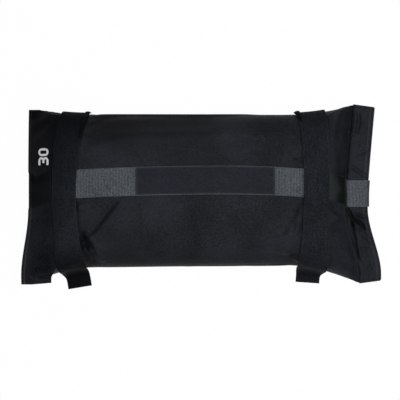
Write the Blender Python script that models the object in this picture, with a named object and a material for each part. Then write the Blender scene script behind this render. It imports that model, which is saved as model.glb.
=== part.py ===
"""Sandbag trainer: a sand-filled pillow of black cloth, lying on its back.

The left end is a mouth that a fold-over flap covers, the right end is a sewn hem,
a band runs along the front and over the hem, and two straps go round the bag.
Lengths are metres, +X runs from the mouth to the hem and +Z is up.
"""

import math
from collections import namedtuple

import bmesh
import bpy
from mathutils import Matrix, Vector

# Filled middle of the bag
BODY_WIDTH_LEFT = 0.2390
BODY_WIDTH_RIGHT = 0.2355
BODY_HEIGHT = 0.102
SEAM_HEIGHT = 0.046
BODY_CENTRE_LEFT_Y = 0.0096
BODY_CENTRE_RIGHT_Y = 0.0112
MIDDLE_LENGTH = 0.275
MIDDLE_X = -0.0175
CROWN_POWER = 2.2
BELLY_POWER = 2.9
BELLY_FLAT_SHARE = 1.06

# Pillow ends, which close to flat flanges at mid height
LEFT_TAPER_LENGTH = 0.098
RIGHT_TAPER_LENGTH = 0.1044
FLANGE_HEIGHT = 0.044
LEFT_END_WIDTH = 0.274
RIGHT_END_WIDTH = 0.2790
LEFT_END_CENTRE_Y = 0.0
RIGHT_END_CENTRE_Y = 0.0052
LEFT_FLARE_LOWER = 0.0120
RIGHT_FLARE_UPPER = 0.0125
RIGHT_FLARE_LOWER = 0.0220
CORNER_DROOP = 0.008
LEFT_PLUMP_POWER = 3.2
RIGHT_PLUMP_POWER = 4.2
LIFT_POWER = 1.6
WIDEN_POWER = 2.6
END_POWER = 7.0
UPPER_FLARE_POWER = 1.2
FLARE_START_SHARE = 0.15
FLARE_FULL_SHARE = 0.92

# Cloth layers and the clearances between them
PANEL_THICKNESS = 0.0010
LINER_THICKNESS = 0.0005
BINDING_THICKNESS = 0.0008
GAP = 0.0003
TAPE_THICKNESS = 0.0008

# Mouth, flap and hem
LIP_WIDTH = 0.0155
FLAP_THICKNESS = 0.0012
FLAP_WIDTH = 0.274
FLAP_CLEARANCE = 0.0028
FLAP_SEAT_GAP = 0.0006
FLAP_CORNER_LEVEL = 0.0005
FLAP_STRAP_GAP = 0.0025
FLAP_FREE_UPPER = 0.0095
FLAP_FREE_LOWER = 0.0085
FLAP_NARROWING_UPPER = 0.0075
FLAP_NARROWING_LOWER = 0.0040
FOLD_RADIUS = 0.0015
HEM_WIDTH = 0.0369
HEM_THICKNESS = 0.0012
HEM_CLEARANCE = 0.0006
HEM_START = 0.0025
HEM_NARROWING = 0.0050

# Band along the front and the bare patch on it
BAND_WIDTH = 0.0435
BAND_THICKNESS = 0.0008
BAND_CLEARANCE = 0.00035
BAND_END_RISE = 0.0007
BAND_HEM_CLEARANCE = 0.0007
BAND_EDGE_CLEARANCE = 0.0011
BAND_OFFSET_Y = 0.0155
BAND_BOW_X = 0.020
BAND_BOW_LEFT_LENGTH = 0.385
BAND_BOW_RIGHT_LENGTH = 0.245
BAND_RETURN = 0.028
LABEL_LENGTH = 0.212
LABEL_WIDTH = 0.0418
LABEL_THICKNESS = 0.0007
LABEL_X = 0.0064

# Straps
STRAP_WIDTH = 0.038
STRAP_THICKNESS = 0.0016
STRAP_CLEARANCE = 0.0009
STRAP_BAND_RISE = 0.0016
STRAP_STANDOFF = 0.0008
STRAP_TAPE_WIDTH = 0.034
HINGE_RISE = 0.002
TAIL_SPLAY = 0.012
TAIL_TAPE_INSET = 0.002
LEFT_STRAP_INSET = 0.044
RIGHT_STRAP_INSET = 0.049
LEFT_STRAP_BOW = (0.0130, 0.0128)
RIGHT_STRAP_BOW = (-0.0065, -0.0080)
LEFT_TAIL_REACH = 0.0305
RIGHT_TAIL_REACH = 0.0258
LEFT_TAIL_TURN = math.radians(9.5)
RIGHT_TAIL_TURN = math.radians(-4.0)

# Places worked out from the sizes above
FULL_LEFT_X = MIDDLE_X - MIDDLE_LENGTH / 2
FULL_RIGHT_X = MIDDLE_X + MIDDLE_LENGTH / 2
LEFT_CREASE_X = FULL_LEFT_X - LEFT_TAPER_LENGTH
RIGHT_CREASE_X = FULL_RIGHT_X + RIGHT_TAPER_LENGTH
LIP_END_X = LEFT_CREASE_X - LIP_WIDTH
FOLD_X = LIP_END_X - 2 * GAP - FLAP_THICKNESS
HEM_END_X = RIGHT_CREASE_X + HEM_WIDTH
PANEL_END_X = HEM_END_X - HEM_THICKNESS - GAP
LIP_HALF = GAP / 2 + TAPE_THICKNESS + GAP + LINER_THICKNESS + GAP + PANEL_THICKNESS
HEM_HALF = GAP / 2 + PANEL_THICKNESS
LINER_BODY_INSET = PANEL_THICKNESS + GAP + BINDING_THICKNESS + GAP
LINER_LIP_INSET = PANEL_THICKNESS + GAP
HINGE_HEIGHT = SEAM_HEIGHT + HINGE_RISE
TAIL_UNDERSIDE = GAP + TAPE_THICKNESS + GAP

# Where rings of points stand along each pillow end, from the full section to the crease
LEFT_RING_SHARES = (0.0, 0.20, 0.36, 0.48, 0.58, 0.67, 0.75, 0.82, 0.88, 0.94, 1.0)
RIGHT_RING_SHARES = (0.0, 0.25, 0.42, 0.55, 0.66, 0.75, 0.82, 0.88, 0.94, 1.0)
MIDDLE_RING_SHARES = (0.25, 0.5, 0.75)
# Which of those rings the inner layers and the band end on
LINER_END_SHARE = 0.88
FILL_LEFT_SHARE = 0.82
FILL_RIGHT_SHARE = 0.82
BINDING_SHARE = 0.75
BAND_START_SHARE = 0.67
# The free tail of a strap, from the side of the bag to the floor: outward and height shares
TAIL_DROP_SHARES = ((0.22, 0.72), (0.48, 0.44), (0.75, 0.21), (1.05, 0.07), (1.6, 0.0))

HALF_TURNS = 16
STRAP_COLUMNS = 4
FLAP_EDGE_ANGLE = math.radians(12)
LOOP_ANGLE = math.radians(45)
TAPE_ANGLE_STEPS = 2
BACK_RUN_STEPS = 5
LOOP_TAPE_STEPS = (12, 20)
HOOK_TAPE_SKIP_COUNT = 2
NORMAL_STEP = 0.0002
NORMAL_ANGLE = 0.01

Section = namedtuple("Section", "centre half_width seam top bottom crown_power belly_power")


def clear_scene():
    for thing in list(bpy.data.objects):
        bpy.data.objects.remove(thing, do_unlink=True)


def mix(start, end, share):
    return start + (end - start) * share


def clamp(value):
    return min(1.0, max(0.0, value))


def ease(share):
    share = clamp(share)
    return share * share * (3 - 2 * share)


def left_share(x):
    return clamp((FULL_LEFT_X - x) / LEFT_TAPER_LENGTH)


def right_share(x):
    return clamp((x - FULL_RIGHT_X) / RIGHT_TAPER_LENGTH)


def section(x):
    """The bag's section at x: its half width, the height of its side seams, and how far it
    stands above and below them."""
    left = left_share(x)
    if left > 0:
        share, plump = left, LEFT_PLUMP_POWER
        end_width, end_centre, end_half = LEFT_END_WIDTH, LEFT_END_CENTRE_Y, LIP_HALF
    else:
        share, plump = right_share(x), RIGHT_PLUMP_POWER
        end_width, end_centre, end_half = RIGHT_END_WIDTH, RIGHT_END_CENTRE_Y, HEM_HALF
    widen = share**WIDEN_POWER
    along = clamp((x - FULL_LEFT_X) / MIDDLE_LENGTH)
    body_width = mix(BODY_WIDTH_LEFT, BODY_WIDTH_RIGHT, along)
    body_centre = mix(BODY_CENTRE_LEFT_Y, BODY_CENTRE_RIGHT_Y, along)
    narrow = HEM_NARROWING * clamp((x - RIGHT_CREASE_X) / HEM_WIDTH)
    seam = mix(SEAM_HEIGHT, FLANGE_HEIGHT, ease(share))
    crown = mix(BODY_HEIGHT, FLANGE_HEIGHT + end_half, ease(share**plump))
    under = mix(0, FLANGE_HEIGHT - end_half, ease(share**LIFT_POWER))
    return Section(
        mix(body_centre, end_centre, widen),
        mix(body_width, end_width, widen) / 2 - narrow,
        seam,
        crown - seam,
        seam - under,
        mix(CROWN_POWER, END_POWER, share**plump),
        mix(BELLY_POWER, END_POWER, share**plump),
    )


def warp(x, y, z):
    """Flares and droops the corners of both ends, the same for every layer."""
    left, right = left_share(x), right_share(x)
    if left > 0:
        side = (y - LEFT_END_CENTRE_Y) / (LEFT_END_WIDTH / 2)
        upper, lower = 0, -LEFT_FLARE_LOWER
    else:
        side = (y - RIGHT_END_CENTRE_Y) / (RIGHT_END_WIDTH / 2)
        upper, lower = RIGHT_FLARE_UPPER, RIGHT_FLARE_LOWER
    share = max(left, right)
    if side < 0:
        flare = lower * ease((-side - FLARE_START_SHARE) / (FLARE_FULL_SHARE - FLARE_START_SHARE))
    else:
        flare = upper * side**UPPER_FLARE_POWER
    return Vector((x + flare * share**2, y, z - CORNER_DROOP * side**2 * share**3))


def side_share(angle):
    """How far towards the side of the bag the points at this angle stand, at every x."""
    return math.copysign(abs(math.cos(angle)) ** (2 / CROWN_POWER), math.cos(angle))


def rise_of(angle, power):
    """How high the outline stands there, as a share of its height."""
    return max(0.0, 1 - abs(side_share(angle)) ** power) ** (1 / power)


def shell_point(x, angle, grow=0.0, half=0):
    """A point of the bag's section at x, its outline grown by grow. half keeps an upper (1)
    or a lower (-1) half clear of the seam."""
    s = section(x)
    if math.sin(angle) >= 0 and half >= 0:
        power = s.crown_power
        z = s.seam + (s.top + grow) * rise_of(angle, power)
    else:
        power = s.belly_power
        deep = (s.bottom * BELLY_FLAT_SHARE + grow) * rise_of(angle, power)
        z = s.seam - min(deep, s.bottom + grow)
    if half:
        z = half * max(half * z, half * s.seam + GAP / 2)
    y = s.centre + (s.half_width + grow) * side_share(angle)
    return warp(x, y, z)


def offset_point(surface, x, angle, grow):
    """The surface's point at x and angle, moved out by grow along its normal."""
    along = surface(x + NORMAL_STEP, angle) - surface(x - NORMAL_STEP, angle)
    round_it = surface(x, angle + NORMAL_ANGLE) - surface(x, angle - NORMAL_ANGLE)
    return surface(x, angle) + round_it.cross(along).normalized() * grow


def rings(left_limit=1.0, right_limit=1.0):
    """The stations along X that every layer of the bag shares, from the mouth to the hem."""
    left = [FULL_LEFT_X - LEFT_TAPER_LENGTH * s for s in reversed(LEFT_RING_SHARES) if s <= left_limit]
    middle = [FULL_LEFT_X + MIDDLE_LENGTH * s for s in MIDDLE_RING_SHARES]
    right = [FULL_RIGHT_X + RIGHT_TAPER_LENGTH * s for s in RIGHT_RING_SHARES if s <= right_limit]
    return left + middle + right


def angles(first, last, steps_per_half=HALF_TURNS):
    return [math.pi * k / steps_per_half for k in range(first, last + 1)]


def cloth(name, colour, roughness):
    material = bpy.data.materials.new(name)
    material.use_nodes = True
    shader = material.node_tree.nodes["Principled BSDF"]
    shader.inputs["Base Color"].default_value = (*colour, 1.0)
    shader.inputs["Roughness"].default_value = roughness
    shader.inputs["Metallic"].default_value = 0.0
    return material


def black_cloth():
    return cloth("black_cloth", (0.016, 0.018, 0.022), 0.85)


def black_webbing():
    return cloth("black_webbing", (0.012, 0.013, 0.016), 0.8)


def grey_band_weave():
    return cloth("grey_band_weave", (0.066, 0.075, 0.086), 0.85)


def label_weave():
    return cloth("label_weave", (0.020, 0.022, 0.028), 0.7)


def lining():
    return cloth("lining", (0.05, 0.05, 0.055), 0.5)


def fastening_tape():
    return cloth("fastening_tape", (0.008, 0.008, 0.009), 0.95)


def dry_sand():
    return cloth("dry_sand", (0.45, 0.34, 0.22), 1.0)


def finish(name, mesh, material, pivot=None):
    """Puts a built mesh in the scene, on the empty of its joint where it has one."""
    bmesh.ops.recalc_face_normals(mesh, faces=mesh.faces)
    if mesh.calc_volume(signed=True) < 0:
        bmesh.ops.reverse_faces(mesh, faces=mesh.faces)
    data = bpy.data.meshes.new(name)
    mesh.to_mesh(data)
    mesh.free()
    data.materials.append(material)
    data.shade_smooth()
    data.set_sharp_from_angle(angle=math.radians(35))
    thing = bpy.data.objects.new(name, data)
    bpy.context.collection.objects.link(thing)
    if pivot:
        data.transform(Matrix.Translation(-pivot.location))
        thing.parent = pivot
    return thing


def slab(name, near, far, material, pivot=None):
    """A closed sheet between two grids of points of the same size."""
    mesh = bmesh.new()
    low = [[mesh.verts.new(p) for p in row] for row in near]
    high = [[mesh.verts.new(p) for p in row] for row in far]
    last_row, last = len(low) - 1, len(low[0]) - 1
    for i in range(last_row):
        for j in range(last):
            mesh.faces.new((low[i][j], low[i][j + 1], low[i + 1][j + 1], low[i + 1][j]))
            mesh.faces.new((high[i][j], high[i + 1][j], high[i + 1][j + 1], high[i][j + 1]))
        for j in (0, last):
            mesh.faces.new((low[i][j], low[i + 1][j], high[i + 1][j], high[i][j]))
    for j in range(last):
        for i in (0, last_row):
            mesh.faces.new((low[i][j], high[i][j], high[i][j + 1], low[i][j + 1]))
    return finish(name, mesh, material, pivot)


def tube_rows(mesh, rows):
    """Side faces through closed rings of points, in order."""
    loops = [[mesh.verts.new(p) for p in row] for row in rows]
    count = len(rows[0])
    for first, second in zip(loops, loops[1:]):
        low, high = (first, second) if first[0].co.x <= second[0].co.x else (second, first)
        for j in range(count):
            k = (j + 1) % count
            mesh.faces.new((low[j], low[k], high[k], high[j]))
    return loops


def close_ring(mesh, loop):
    """Closes a ring whose points mirror across its middle line, one strip from side to side."""
    half = len(loop) // 2
    for j in range(half):
        corners = (loop[j], loop[j + 1], loop[-j - 1], loop[-j % len(loop)])
        distinct = list(dict.fromkeys(corners))
        mesh.faces.new(distinct)


def ring_at(x, grow):
    return [shell_point(x, a, grow) for a in angles(0, 2 * HALF_TURNS - 1)]


def make_panel(name, half, stations):
    """One of the two outer cloth panels, sewn to the other along the long sides."""
    first = 0 if half > 0 else HALF_TURNS
    turns = angles(first, first + HALF_TURNS)
    far = [[shell_point(x, a, 0, half) for a in turns] for x in stations]
    near = [[shell_point(x, a, -PANEL_THICKNESS, half) for a in turns] for x in stations]
    return slab(name, near, far, black_cloth())


def make_panels():
    hem_rings = [mix(RIGHT_CREASE_X, PANEL_END_X, s) for s in (0.5, 1.0)]
    make_panel("front_panel", 1, [LIP_END_X] + rings() + hem_rings)
    make_panel("back_panel", -1, [FOLD_X, LIP_END_X] + rings() + hem_rings)


def liner_inset(x):
    past_binding = (max(left_share(x), right_share(x)) - BINDING_SHARE) / (1 - BINDING_SHARE)
    return mix(LINER_BODY_INSET, LINER_LIP_INSET, clamp(past_binding))


def make_liner():
    """The lining bag that holds the sand, open at the mouth and shut at the hem end."""
    stations = [LIP_END_X] + rings(1.0, LINER_END_SHARE)
    outer = [ring_at(x, -liner_inset(x)) for x in stations]
    inner_end = mix(stations[-1], stations[-2], clamp(LINER_THICKNESS / (stations[-1] - stations[-2])))
    inner_stations = stations[:-1] + [inner_end]
    inner = [ring_at(x, -liner_inset(x) - LINER_THICKNESS) for x in inner_stations]
    mesh = bmesh.new()
    loops = tube_rows(mesh, inner[::-1] + outer)
    close_ring(mesh, loops[0])
    close_ring(mesh, loops[-1])
    return finish("liner_bag", mesh, lining())


def make_fill():
    """The sand, as it lies packed inside the lining."""
    stations = rings(FILL_LEFT_SHARE, FILL_RIGHT_SHARE)
    mesh = bmesh.new()
    rows = [ring_at(x, -liner_inset(x) - LINER_THICKNESS - GAP) for x in stations]
    loops = tube_rows(mesh, rows)
    close_ring(mesh, loops[0])
    close_ring(mesh, loops[-1])
    return finish("sand_fill", mesh, dry_sand())


def make_seam_binding(name, middle_step):
    """Tape over the raw edges of a long side seam, inside the bag."""
    turns = angles(middle_step - 1, middle_step + 1)
    stations = rings(BINDING_SHARE, BINDING_SHARE)
    outer = -PANEL_THICKNESS - GAP
    far = [[shell_point(x, a, outer) for a in turns] for x in stations]
    near = [[shell_point(x, a, outer - BINDING_THICKNESS) for a in turns] for x in stations]
    return slab(name, near, far, fastening_tape())


def lip_point(x, angle, level):
    """A point in the flat of the mouth, level above (or below) its middle."""
    lower = level < 0
    grow = abs(level) - LIP_HALF
    s = section(x)
    turn = -angle if lower else angle
    rise = rise_of(angle, END_POWER) * abs(level)
    y = s.centre + (s.half_width + grow) * side_share(turn)
    return warp(x, y, FLANGE_HEIGHT - rise if lower else FLANGE_HEIGHT + rise)


def make_lip_tape(name, point, low, high, pivot=None):
    """A fastening tape across the mouth between two levels."""
    turns = angles(TAPE_ANGLE_STEPS, HALF_TURNS - TAPE_ANGLE_STEPS)
    stations = (LIP_END_X + FLAP_THICKNESS, LEFT_CREASE_X)
    far = [[point(x, a, high) for a in turns] for x in stations]
    near = [[point(x, a, low) for a in turns] for x in stations]
    return slab(name, near, far, fastening_tape(), pivot)


def make_mouth_tapes():
    make_lip_tape("mouth_hook_tape", lip_point, -GAP / 2, -GAP / 2 - TAPE_THICKNESS)
    make_lip_tape("mouth_loop_tape", lip_point, GAP / 2, GAP / 2 + TAPE_THICKNESS)


def flap_half_span():
    return FLAP_WIDTH / 2 / side_share(FLAP_EDGE_ANGLE)


def cover_point(x, angle):
    """The surface that the flap drapes over: the bag's top, carried out to the flap's width."""
    s = section(x)
    side = side_share(angle)
    narrowing = FLAP_NARROWING_UPPER if side > 0 else FLAP_NARROWING_LOWER
    from_crease = clamp((x - LEFT_CREASE_X) / (left_strap_place() - LEFT_CREASE_X - STRAP_WIDTH / 2))
    y = LEFT_END_CENTRE_Y + (flap_half_span() - narrowing * from_crease) * side
    return warp(x, y, s.seam + s.top * rise_of(angle, s.crown_power))


def fold_point(x, angle, level):
    y = LEFT_END_CENTRE_Y + flap_half_span() * side_share(angle)
    return warp(x, y, FLANGE_HEIGHT + level * rise_of(angle, END_POWER))


def flap_turns():
    inner = angles(TAPE_ANGLE_STEPS, HALF_TURNS - TAPE_ANGLE_STEPS)
    return [FLAP_EDGE_ANGLE] + inner + [math.pi - FLAP_EDGE_ANGLE]


def strap_x(place, bow, angle):
    """Where a strap's middle line runs along X at this angle round the bag."""
    side = math.cos(angle)
    return place + bow[0 if side > 0 else 1] * side * side


def left_strap_place():
    return LEFT_CREASE_X + LEFT_STRAP_INSET


def right_strap_place():
    return RIGHT_CREASE_X - RIGHT_STRAP_INSET


def flap_free_x(angle):
    """The flap's free edge keeps clear of the left strap, and hangs back from it at both sides."""
    side = math.cos(angle)
    back = (FLAP_FREE_UPPER if side > 0 else FLAP_FREE_LOWER) * side * side
    edge = left_strap_place() - STRAP_WIDTH / 2 - FLAP_STRAP_GAP
    return edge + back


def flap_start(x):
    """The row where the flap starts on the back lip, its two corners clear of the side seams."""
    level = FLAP_SEAT_GAP - (LIP_HALF - PANEL_THICKNESS)
    turns = flap_turns()
    row = [fold_point(x, a, level) for a in turns]
    row[0] = fold_point(x, turns[0], FLAP_CORNER_LEVEL)
    row[-1] = fold_point(x, turns[-1], FLAP_CORNER_LEVEL)
    return row


def flap_pivot():
    """The flap turns on a straight line that its curved fold touches from inside."""
    start = flap_start(FOLD_X)
    corner = start[0]
    slope = max((corner.x - p.x) / (corner.y - p.y) for p in start[1:])
    pivot = bpy.data.objects.new("flap_pivot", None)
    bpy.context.collection.objects.link(pivot)
    pivot.location = (corner.x - slope * corner.y, 0, min(p.z for p in start))
    return pivot


def flap_rows():
    """Rows of the flap from its start on the back lip, round the fold and over the front."""
    turns = flap_turns()
    top = LIP_HALF + FLAP_CLEARANCE
    inner_x = FOLD_X + FLAP_THICKNESS
    near = [flap_start(inner_x)]
    far = [flap_start(FOLD_X)]
    for turn in (0, 45, 90):
        across = FOLD_RADIUS * (1 - math.cos(math.radians(turn)))
        up = FOLD_RADIUS * (1 - math.sin(math.radians(turn)))
        wide = (FOLD_RADIUS + FLAP_THICKNESS) * (1 - math.cos(math.radians(turn)))
        tall = (FOLD_RADIUS + FLAP_THICKNESS) * (1 - math.sin(math.radians(turn)))
        near.append([fold_point(inner_x + across, a, top - up) for a in turns])
        far.append([fold_point(FOLD_X + wide, a, top + FLAP_THICKNESS - tall) for a in turns])
    free_least = min(flap_free_x(a) for a in turns)
    stations = [x for x in rings() if inner_x + 2 * FOLD_RADIUS < x < free_least - FOLD_RADIUS]
    for x in stations:
        near.append([offset_point(cover_point, x, a, FLAP_CLEARANCE) for a in turns])
        far.append([offset_point(cover_point, x, a, FLAP_CLEARANCE + FLAP_THICKNESS) for a in turns])
    edge = [(flap_free_x(a), a) for a in turns]
    near.append([offset_point(cover_point, x, a, FLAP_CLEARANCE) for x, a in edge])
    far.append([offset_point(cover_point, x, a, FLAP_CLEARANCE + FLAP_THICKNESS) for x, a in edge])
    return near, far


def make_flap():
    """The closure flap, the loop tape under it on the front lip and the hook tape it carries."""
    pivot = flap_pivot()
    near, far = flap_rows()
    slab("closure_flap", near, far, black_cloth(), pivot)
    loop_top = LIP_HALF + GAP + TAPE_THICKNESS
    make_lip_tape("flap_loop_tape", lip_point, LIP_HALF + GAP, loop_top)
    hook_top = LIP_HALF + FLAP_CLEARANCE - GAP
    make_lip_tape("flap_hook_tape", fold_point, hook_top - TAPE_THICKNESS, hook_top, pivot)


def make_hem():
    """The stiff folded hem: a flat sleeve over the panels' ends, shut along the outer edge."""
    outer_grow = HEM_CLEARANCE + HEM_THICKNESS
    middle_x = (RIGHT_CREASE_X + HEM_END_X) / 2
    outer_x = (RIGHT_CREASE_X + HEM_START, middle_x, HEM_END_X)
    inner_x = (RIGHT_CREASE_X + HEM_START, middle_x, HEM_END_X - HEM_THICKNESS)
    mesh = bmesh.new()
    inner = [ring_at(x, HEM_CLEARANCE) for x in inner_x]
    outer = [ring_at(x, outer_grow) for x in outer_x]
    loops = tube_rows(mesh, inner[::-1] + outer)
    close_ring(mesh, loops[0])
    close_ring(mesh, loops[-1])
    return finish("end_hem", mesh, black_cloth())


def band_centre_y(x):
    length = BAND_BOW_LEFT_LENGTH if x < BAND_BOW_X else BAND_BOW_RIGHT_LENGTH
    bow = 1 - ((x - BAND_BOW_X) / length) ** 2
    return section(x).centre + BAND_OFFSET_Y * max(0.0, bow)


def angle_at(x, y):
    """The angle at which the upper half of the section at x stands over this y."""
    s = section(x)
    side = (y - s.centre) / s.half_width
    return math.acos(math.copysign(abs(side) ** (CROWN_POWER / 2), side))


def ribbon_row(x, width, grow, columns=STRAP_COLUMNS):
    middle = band_centre_y(x)
    row = []
    for k in range(columns + 1):
        y = middle + width / 2 - width * k / columns
        row.append(offset_point(shell_point, x, angle_at(x, y), grow))
    return row


def hem_band_row(x, level):
    """A row of the band at this level over (or under) the middle of the hem."""
    middle = band_centre_y(HEM_END_X)
    row = []
    for k in range(STRAP_COLUMNS + 1):
        y = middle + BAND_WIDTH / 2 - BAND_WIDTH * k / STRAP_COLUMNS
        row.append(warp(x, y, FLANGE_HEIGHT + level))
    return row


def make_band():
    """The band: along the front, up over the hem, round its edge and a little way back below."""
    near, far = [], []
    for x in rings(BAND_START_SHARE):
        low = BAND_CLEARANCE + BAND_END_RISE * max(left_share(x), right_share(x)) ** 2
        near.append(ribbon_row(x, BAND_WIDTH, low))
        far.append(ribbon_row(x, BAND_WIDTH, low + BAND_THICKNESS))
    level = HEM_HALF + HEM_CLEARANCE + HEM_THICKNESS + BAND_HEM_CLEARANCE
    over_hem = [(RIGHT_CREASE_X + HEM_START - GAP, 90), (HEM_END_X, 90)]
    wrap = [(HEM_END_X, turn) for turn in (60, 30, 0, -30, -60, -90)]
    back = [(HEM_END_X - BAND_RETURN, -90)]
    for x, turn in over_hem + wrap + back:
        out = math.cos(math.radians(turn)) ** (2 / 3)
        up = math.copysign(abs(math.sin(math.radians(turn))) ** (2 / 3), turn)
        for rows, more in ((near, 0), (far, BAND_THICKNESS)):
            rows.append(hem_band_row(x + (BAND_EDGE_CLEARANCE + more) * out, (level + more) * up))
    return slab("centre_band", near, far, grey_band_weave())


def make_label():
    """The bare woven patch on the band."""
    ends = (LABEL_X - LABEL_LENGTH / 2, LABEL_X + LABEL_LENGTH / 2)
    stations = [ends[0]] + [x for x in rings() if ends[0] < x < ends[1]] + [ends[1]]
    low = BAND_CLEARANCE + BAND_THICKNESS + GAP
    near = [ribbon_row(x, LABEL_WIDTH, low) for x in stations]
    far = [ribbon_row(x, LABEL_WIDTH, low + LABEL_THICKNESS) for x in stations]
    return slab("label_patch", near, far, label_weave())


def strap_columns(width):
    return [-width / 2 + width * k / STRAP_COLUMNS for k in range(STRAP_COLUMNS + 1)]


def strap_clearance(x, angle):
    """A strap lies close to the bag, climbs over the band and stands off where it turns the side."""
    y = shell_point(x, angle).y
    beside = abs(y - band_centre_y(x)) - BAND_WIDTH / 2
    over_band = 1 - ease((beside - STRAP_THICKNESS) / (BAND_WIDTH / 2)) if math.sin(angle) > 0 else 0
    turn = abs(math.remainder(angle, 2 * math.pi))
    loop = 1 - ease(turn / LOOP_ANGLE)
    return STRAP_CLEARANCE + STRAP_BAND_RISE * over_band + STRAP_STANDOFF * loop


def strap_row(place, bow, angle, width, extra=0.0):
    """A pair of rows, the strap's inner and outer faces at one angle round the bag."""
    near, far = [], []
    for across in strap_columns(width):
        x = strap_x(place, bow, angle) + across
        low = strap_clearance(x, angle) + extra
        near.append(offset_point(shell_point, x, angle, low))
        far.append(offset_point(shell_point, x, angle, low + STRAP_THICKNESS))
    return near, far


def hinge_row(place, bow, side):
    """The strap's faces where its front run meets its back run, above (1) or below (-1) the hinge."""
    near, far = strap_row(place, bow, 0.0, STRAP_WIDTH)
    for row in (near, far):
        for point in row:
            point.z = HINGE_HEIGHT + side * GAP / 2
    return near, far


def strap_pivot(name, place, bow):
    near, far = hinge_row(place, bow, 1)
    pivot = bpy.data.objects.new(name, None)
    bpy.context.collection.objects.link(pivot)
    middle_x = strap_x(place, bow, 0.0)
    pivot.location = (middle_x, max(p.y for p in far), HINGE_HEIGHT)
    return pivot


def tail_path(reach):
    """The strap's underside from the side of the bag to its end: outward places and heights."""
    start_height = SEAM_HEIGHT
    path = [(0.0, start_height)]
    for out_share, height_share in TAIL_DROP_SHARES:
        height = mix(TAIL_UNDERSIDE, start_height, height_share)
        path.append((TAIL_SPLAY * out_share, height))
    path.append((reach, TAIL_UNDERSIDE))
    return path


def tail_rows(place, bow, reach, turn, width, lift, thickness):
    """Rows of the free tail, which swings round to its own direction as it comes down."""
    path = tail_path(reach)
    floor_point = len(path) - 2
    seam_x = strap_x(place, bow, math.pi)
    rows = []
    for k in range(len(path)):
        before, after = path[max(k - 1, 0)], path[min(k + 1, len(path) - 1)]
        step = Vector((after[0] - before[0], after[1] - before[1])).normalized()
        out, height = path[k]
        swing = turn * ease(k / floor_point)
        near, far = [], []
        for across in strap_columns(width):
            start = shell_point(seam_x + across, math.pi)
            middle = shell_point(seam_x, math.pi)
            settle = ease(k / floor_point)
            x_start = mix(start.x - across, middle.x, settle)
            y_start = mix(start.y, middle.y, settle) - STRAP_CLEARANCE
            z_start = mix(start.z - SEAM_HEIGHT, 0, settle)
            x = x_start + across * math.cos(swing) + out * math.tan(turn)
            y = y_start - out + across * math.sin(swing)
            for row, depth in ((near, lift), (far, lift + thickness)):
                row.append(Vector((x, y + step.y * depth, height + z_start + step.x * depth)))
        rows.append((near, far))
    return rows


def make_strap_front(name, place, bow, reach, turn, pivot):
    """The free run of a strap: over the front of the bag and down to its tail on the floor."""
    rows = [hinge_row(place, bow, 1)]
    for angle in angles(1, 2 * HALF_TURNS - 1, 2 * HALF_TURNS):
        rows.append(strap_row(place, bow, angle, STRAP_WIDTH))
    rows += tail_rows(place, bow, reach, turn, STRAP_WIDTH, 0.0, STRAP_THICKNESS)
    near, far = [list(part) for part in zip(*rows)]
    return slab(name, near, far, black_webbing(), pivot)


def make_tail_tape(name, place, bow, reach, turn, pivot):
    """The hook tape under a strap's tail."""
    low = -GAP - TAPE_THICKNESS
    rows = tail_rows(place, bow, reach - TAIL_TAPE_INSET, turn, STRAP_TAPE_WIDTH, low, TAPE_THICKNESS)
    rows = rows[HOOK_TAPE_SKIP_COUNT:]
    near, far = [list(part) for part in zip(*rows)]
    return slab(name, near, far, fastening_tape(), pivot)


def make_strap_back(name, place, bow):
    """The sewn run of a strap: from under the bag up its side to the hinge."""
    half_steps = 2 * HALF_TURNS
    rows = []
    for angle in angles(half_steps + 2 * BACK_RUN_STEPS, 2 * half_steps - 1, half_steps):
        rows.append(strap_row(place, bow, angle, STRAP_WIDTH))
    rows.append(hinge_row(place, bow, -1))
    near, far = [list(part) for part in zip(*rows)]
    return slab(name, near, far, black_webbing())


def make_strap_loop_tape(name, place, bow):
    """The loop tape under the sewn run, which the tail's hooks catch."""
    half_steps = 2 * HALF_TURNS
    first, last = LOOP_TAPE_STEPS
    extra = STRAP_THICKNESS + GAP
    near, far = [], []
    for angle in angles(half_steps + first, half_steps + last, half_steps):
        low, _ = strap_row(place, bow, angle, STRAP_TAPE_WIDTH, extra)
        high, _ = strap_row(place, bow, angle, STRAP_TAPE_WIDTH, extra + TAPE_THICKNESS)
        near.append(low)
        far.append(high)
    return slab(name, near, far, fastening_tape())


def make_strap(side, place, bow, reach, turn):
    pivot = strap_pivot(f"{side}_strap_pivot", place, bow)
    make_strap_back(f"{side}_strap_back", place, bow)
    make_strap_loop_tape(f"{side}_strap_loop_tape", place, bow)
    make_strap_front(f"{side}_strap_front", place, bow, reach, turn, pivot)
    make_tail_tape(f"{side}_strap_hook_tape", place, bow, reach, turn, pivot)


def build():
    clear_scene()
    make_panels()
    make_liner()
    make_fill()
    make_seam_binding("upper_seam_binding", 0)
    make_seam_binding("lower_seam_binding", HALF_TURNS)
    make_mouth_tapes()
    make_flap()
    make_hem()
    make_band()
    make_label()
    make_strap("left", left_strap_place(), LEFT_STRAP_BOW, LEFT_TAIL_REACH, LEFT_TAIL_TURN)
    make_strap("right", right_strap_place(), RIGHT_STRAP_BOW, RIGHT_TAIL_REACH, RIGHT_TAIL_TURN)
    bpy.context.view_layer.update()


build()
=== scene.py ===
import math
import bmesh
import bpy
from mathutils import Matrix, Vector, noise


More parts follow.
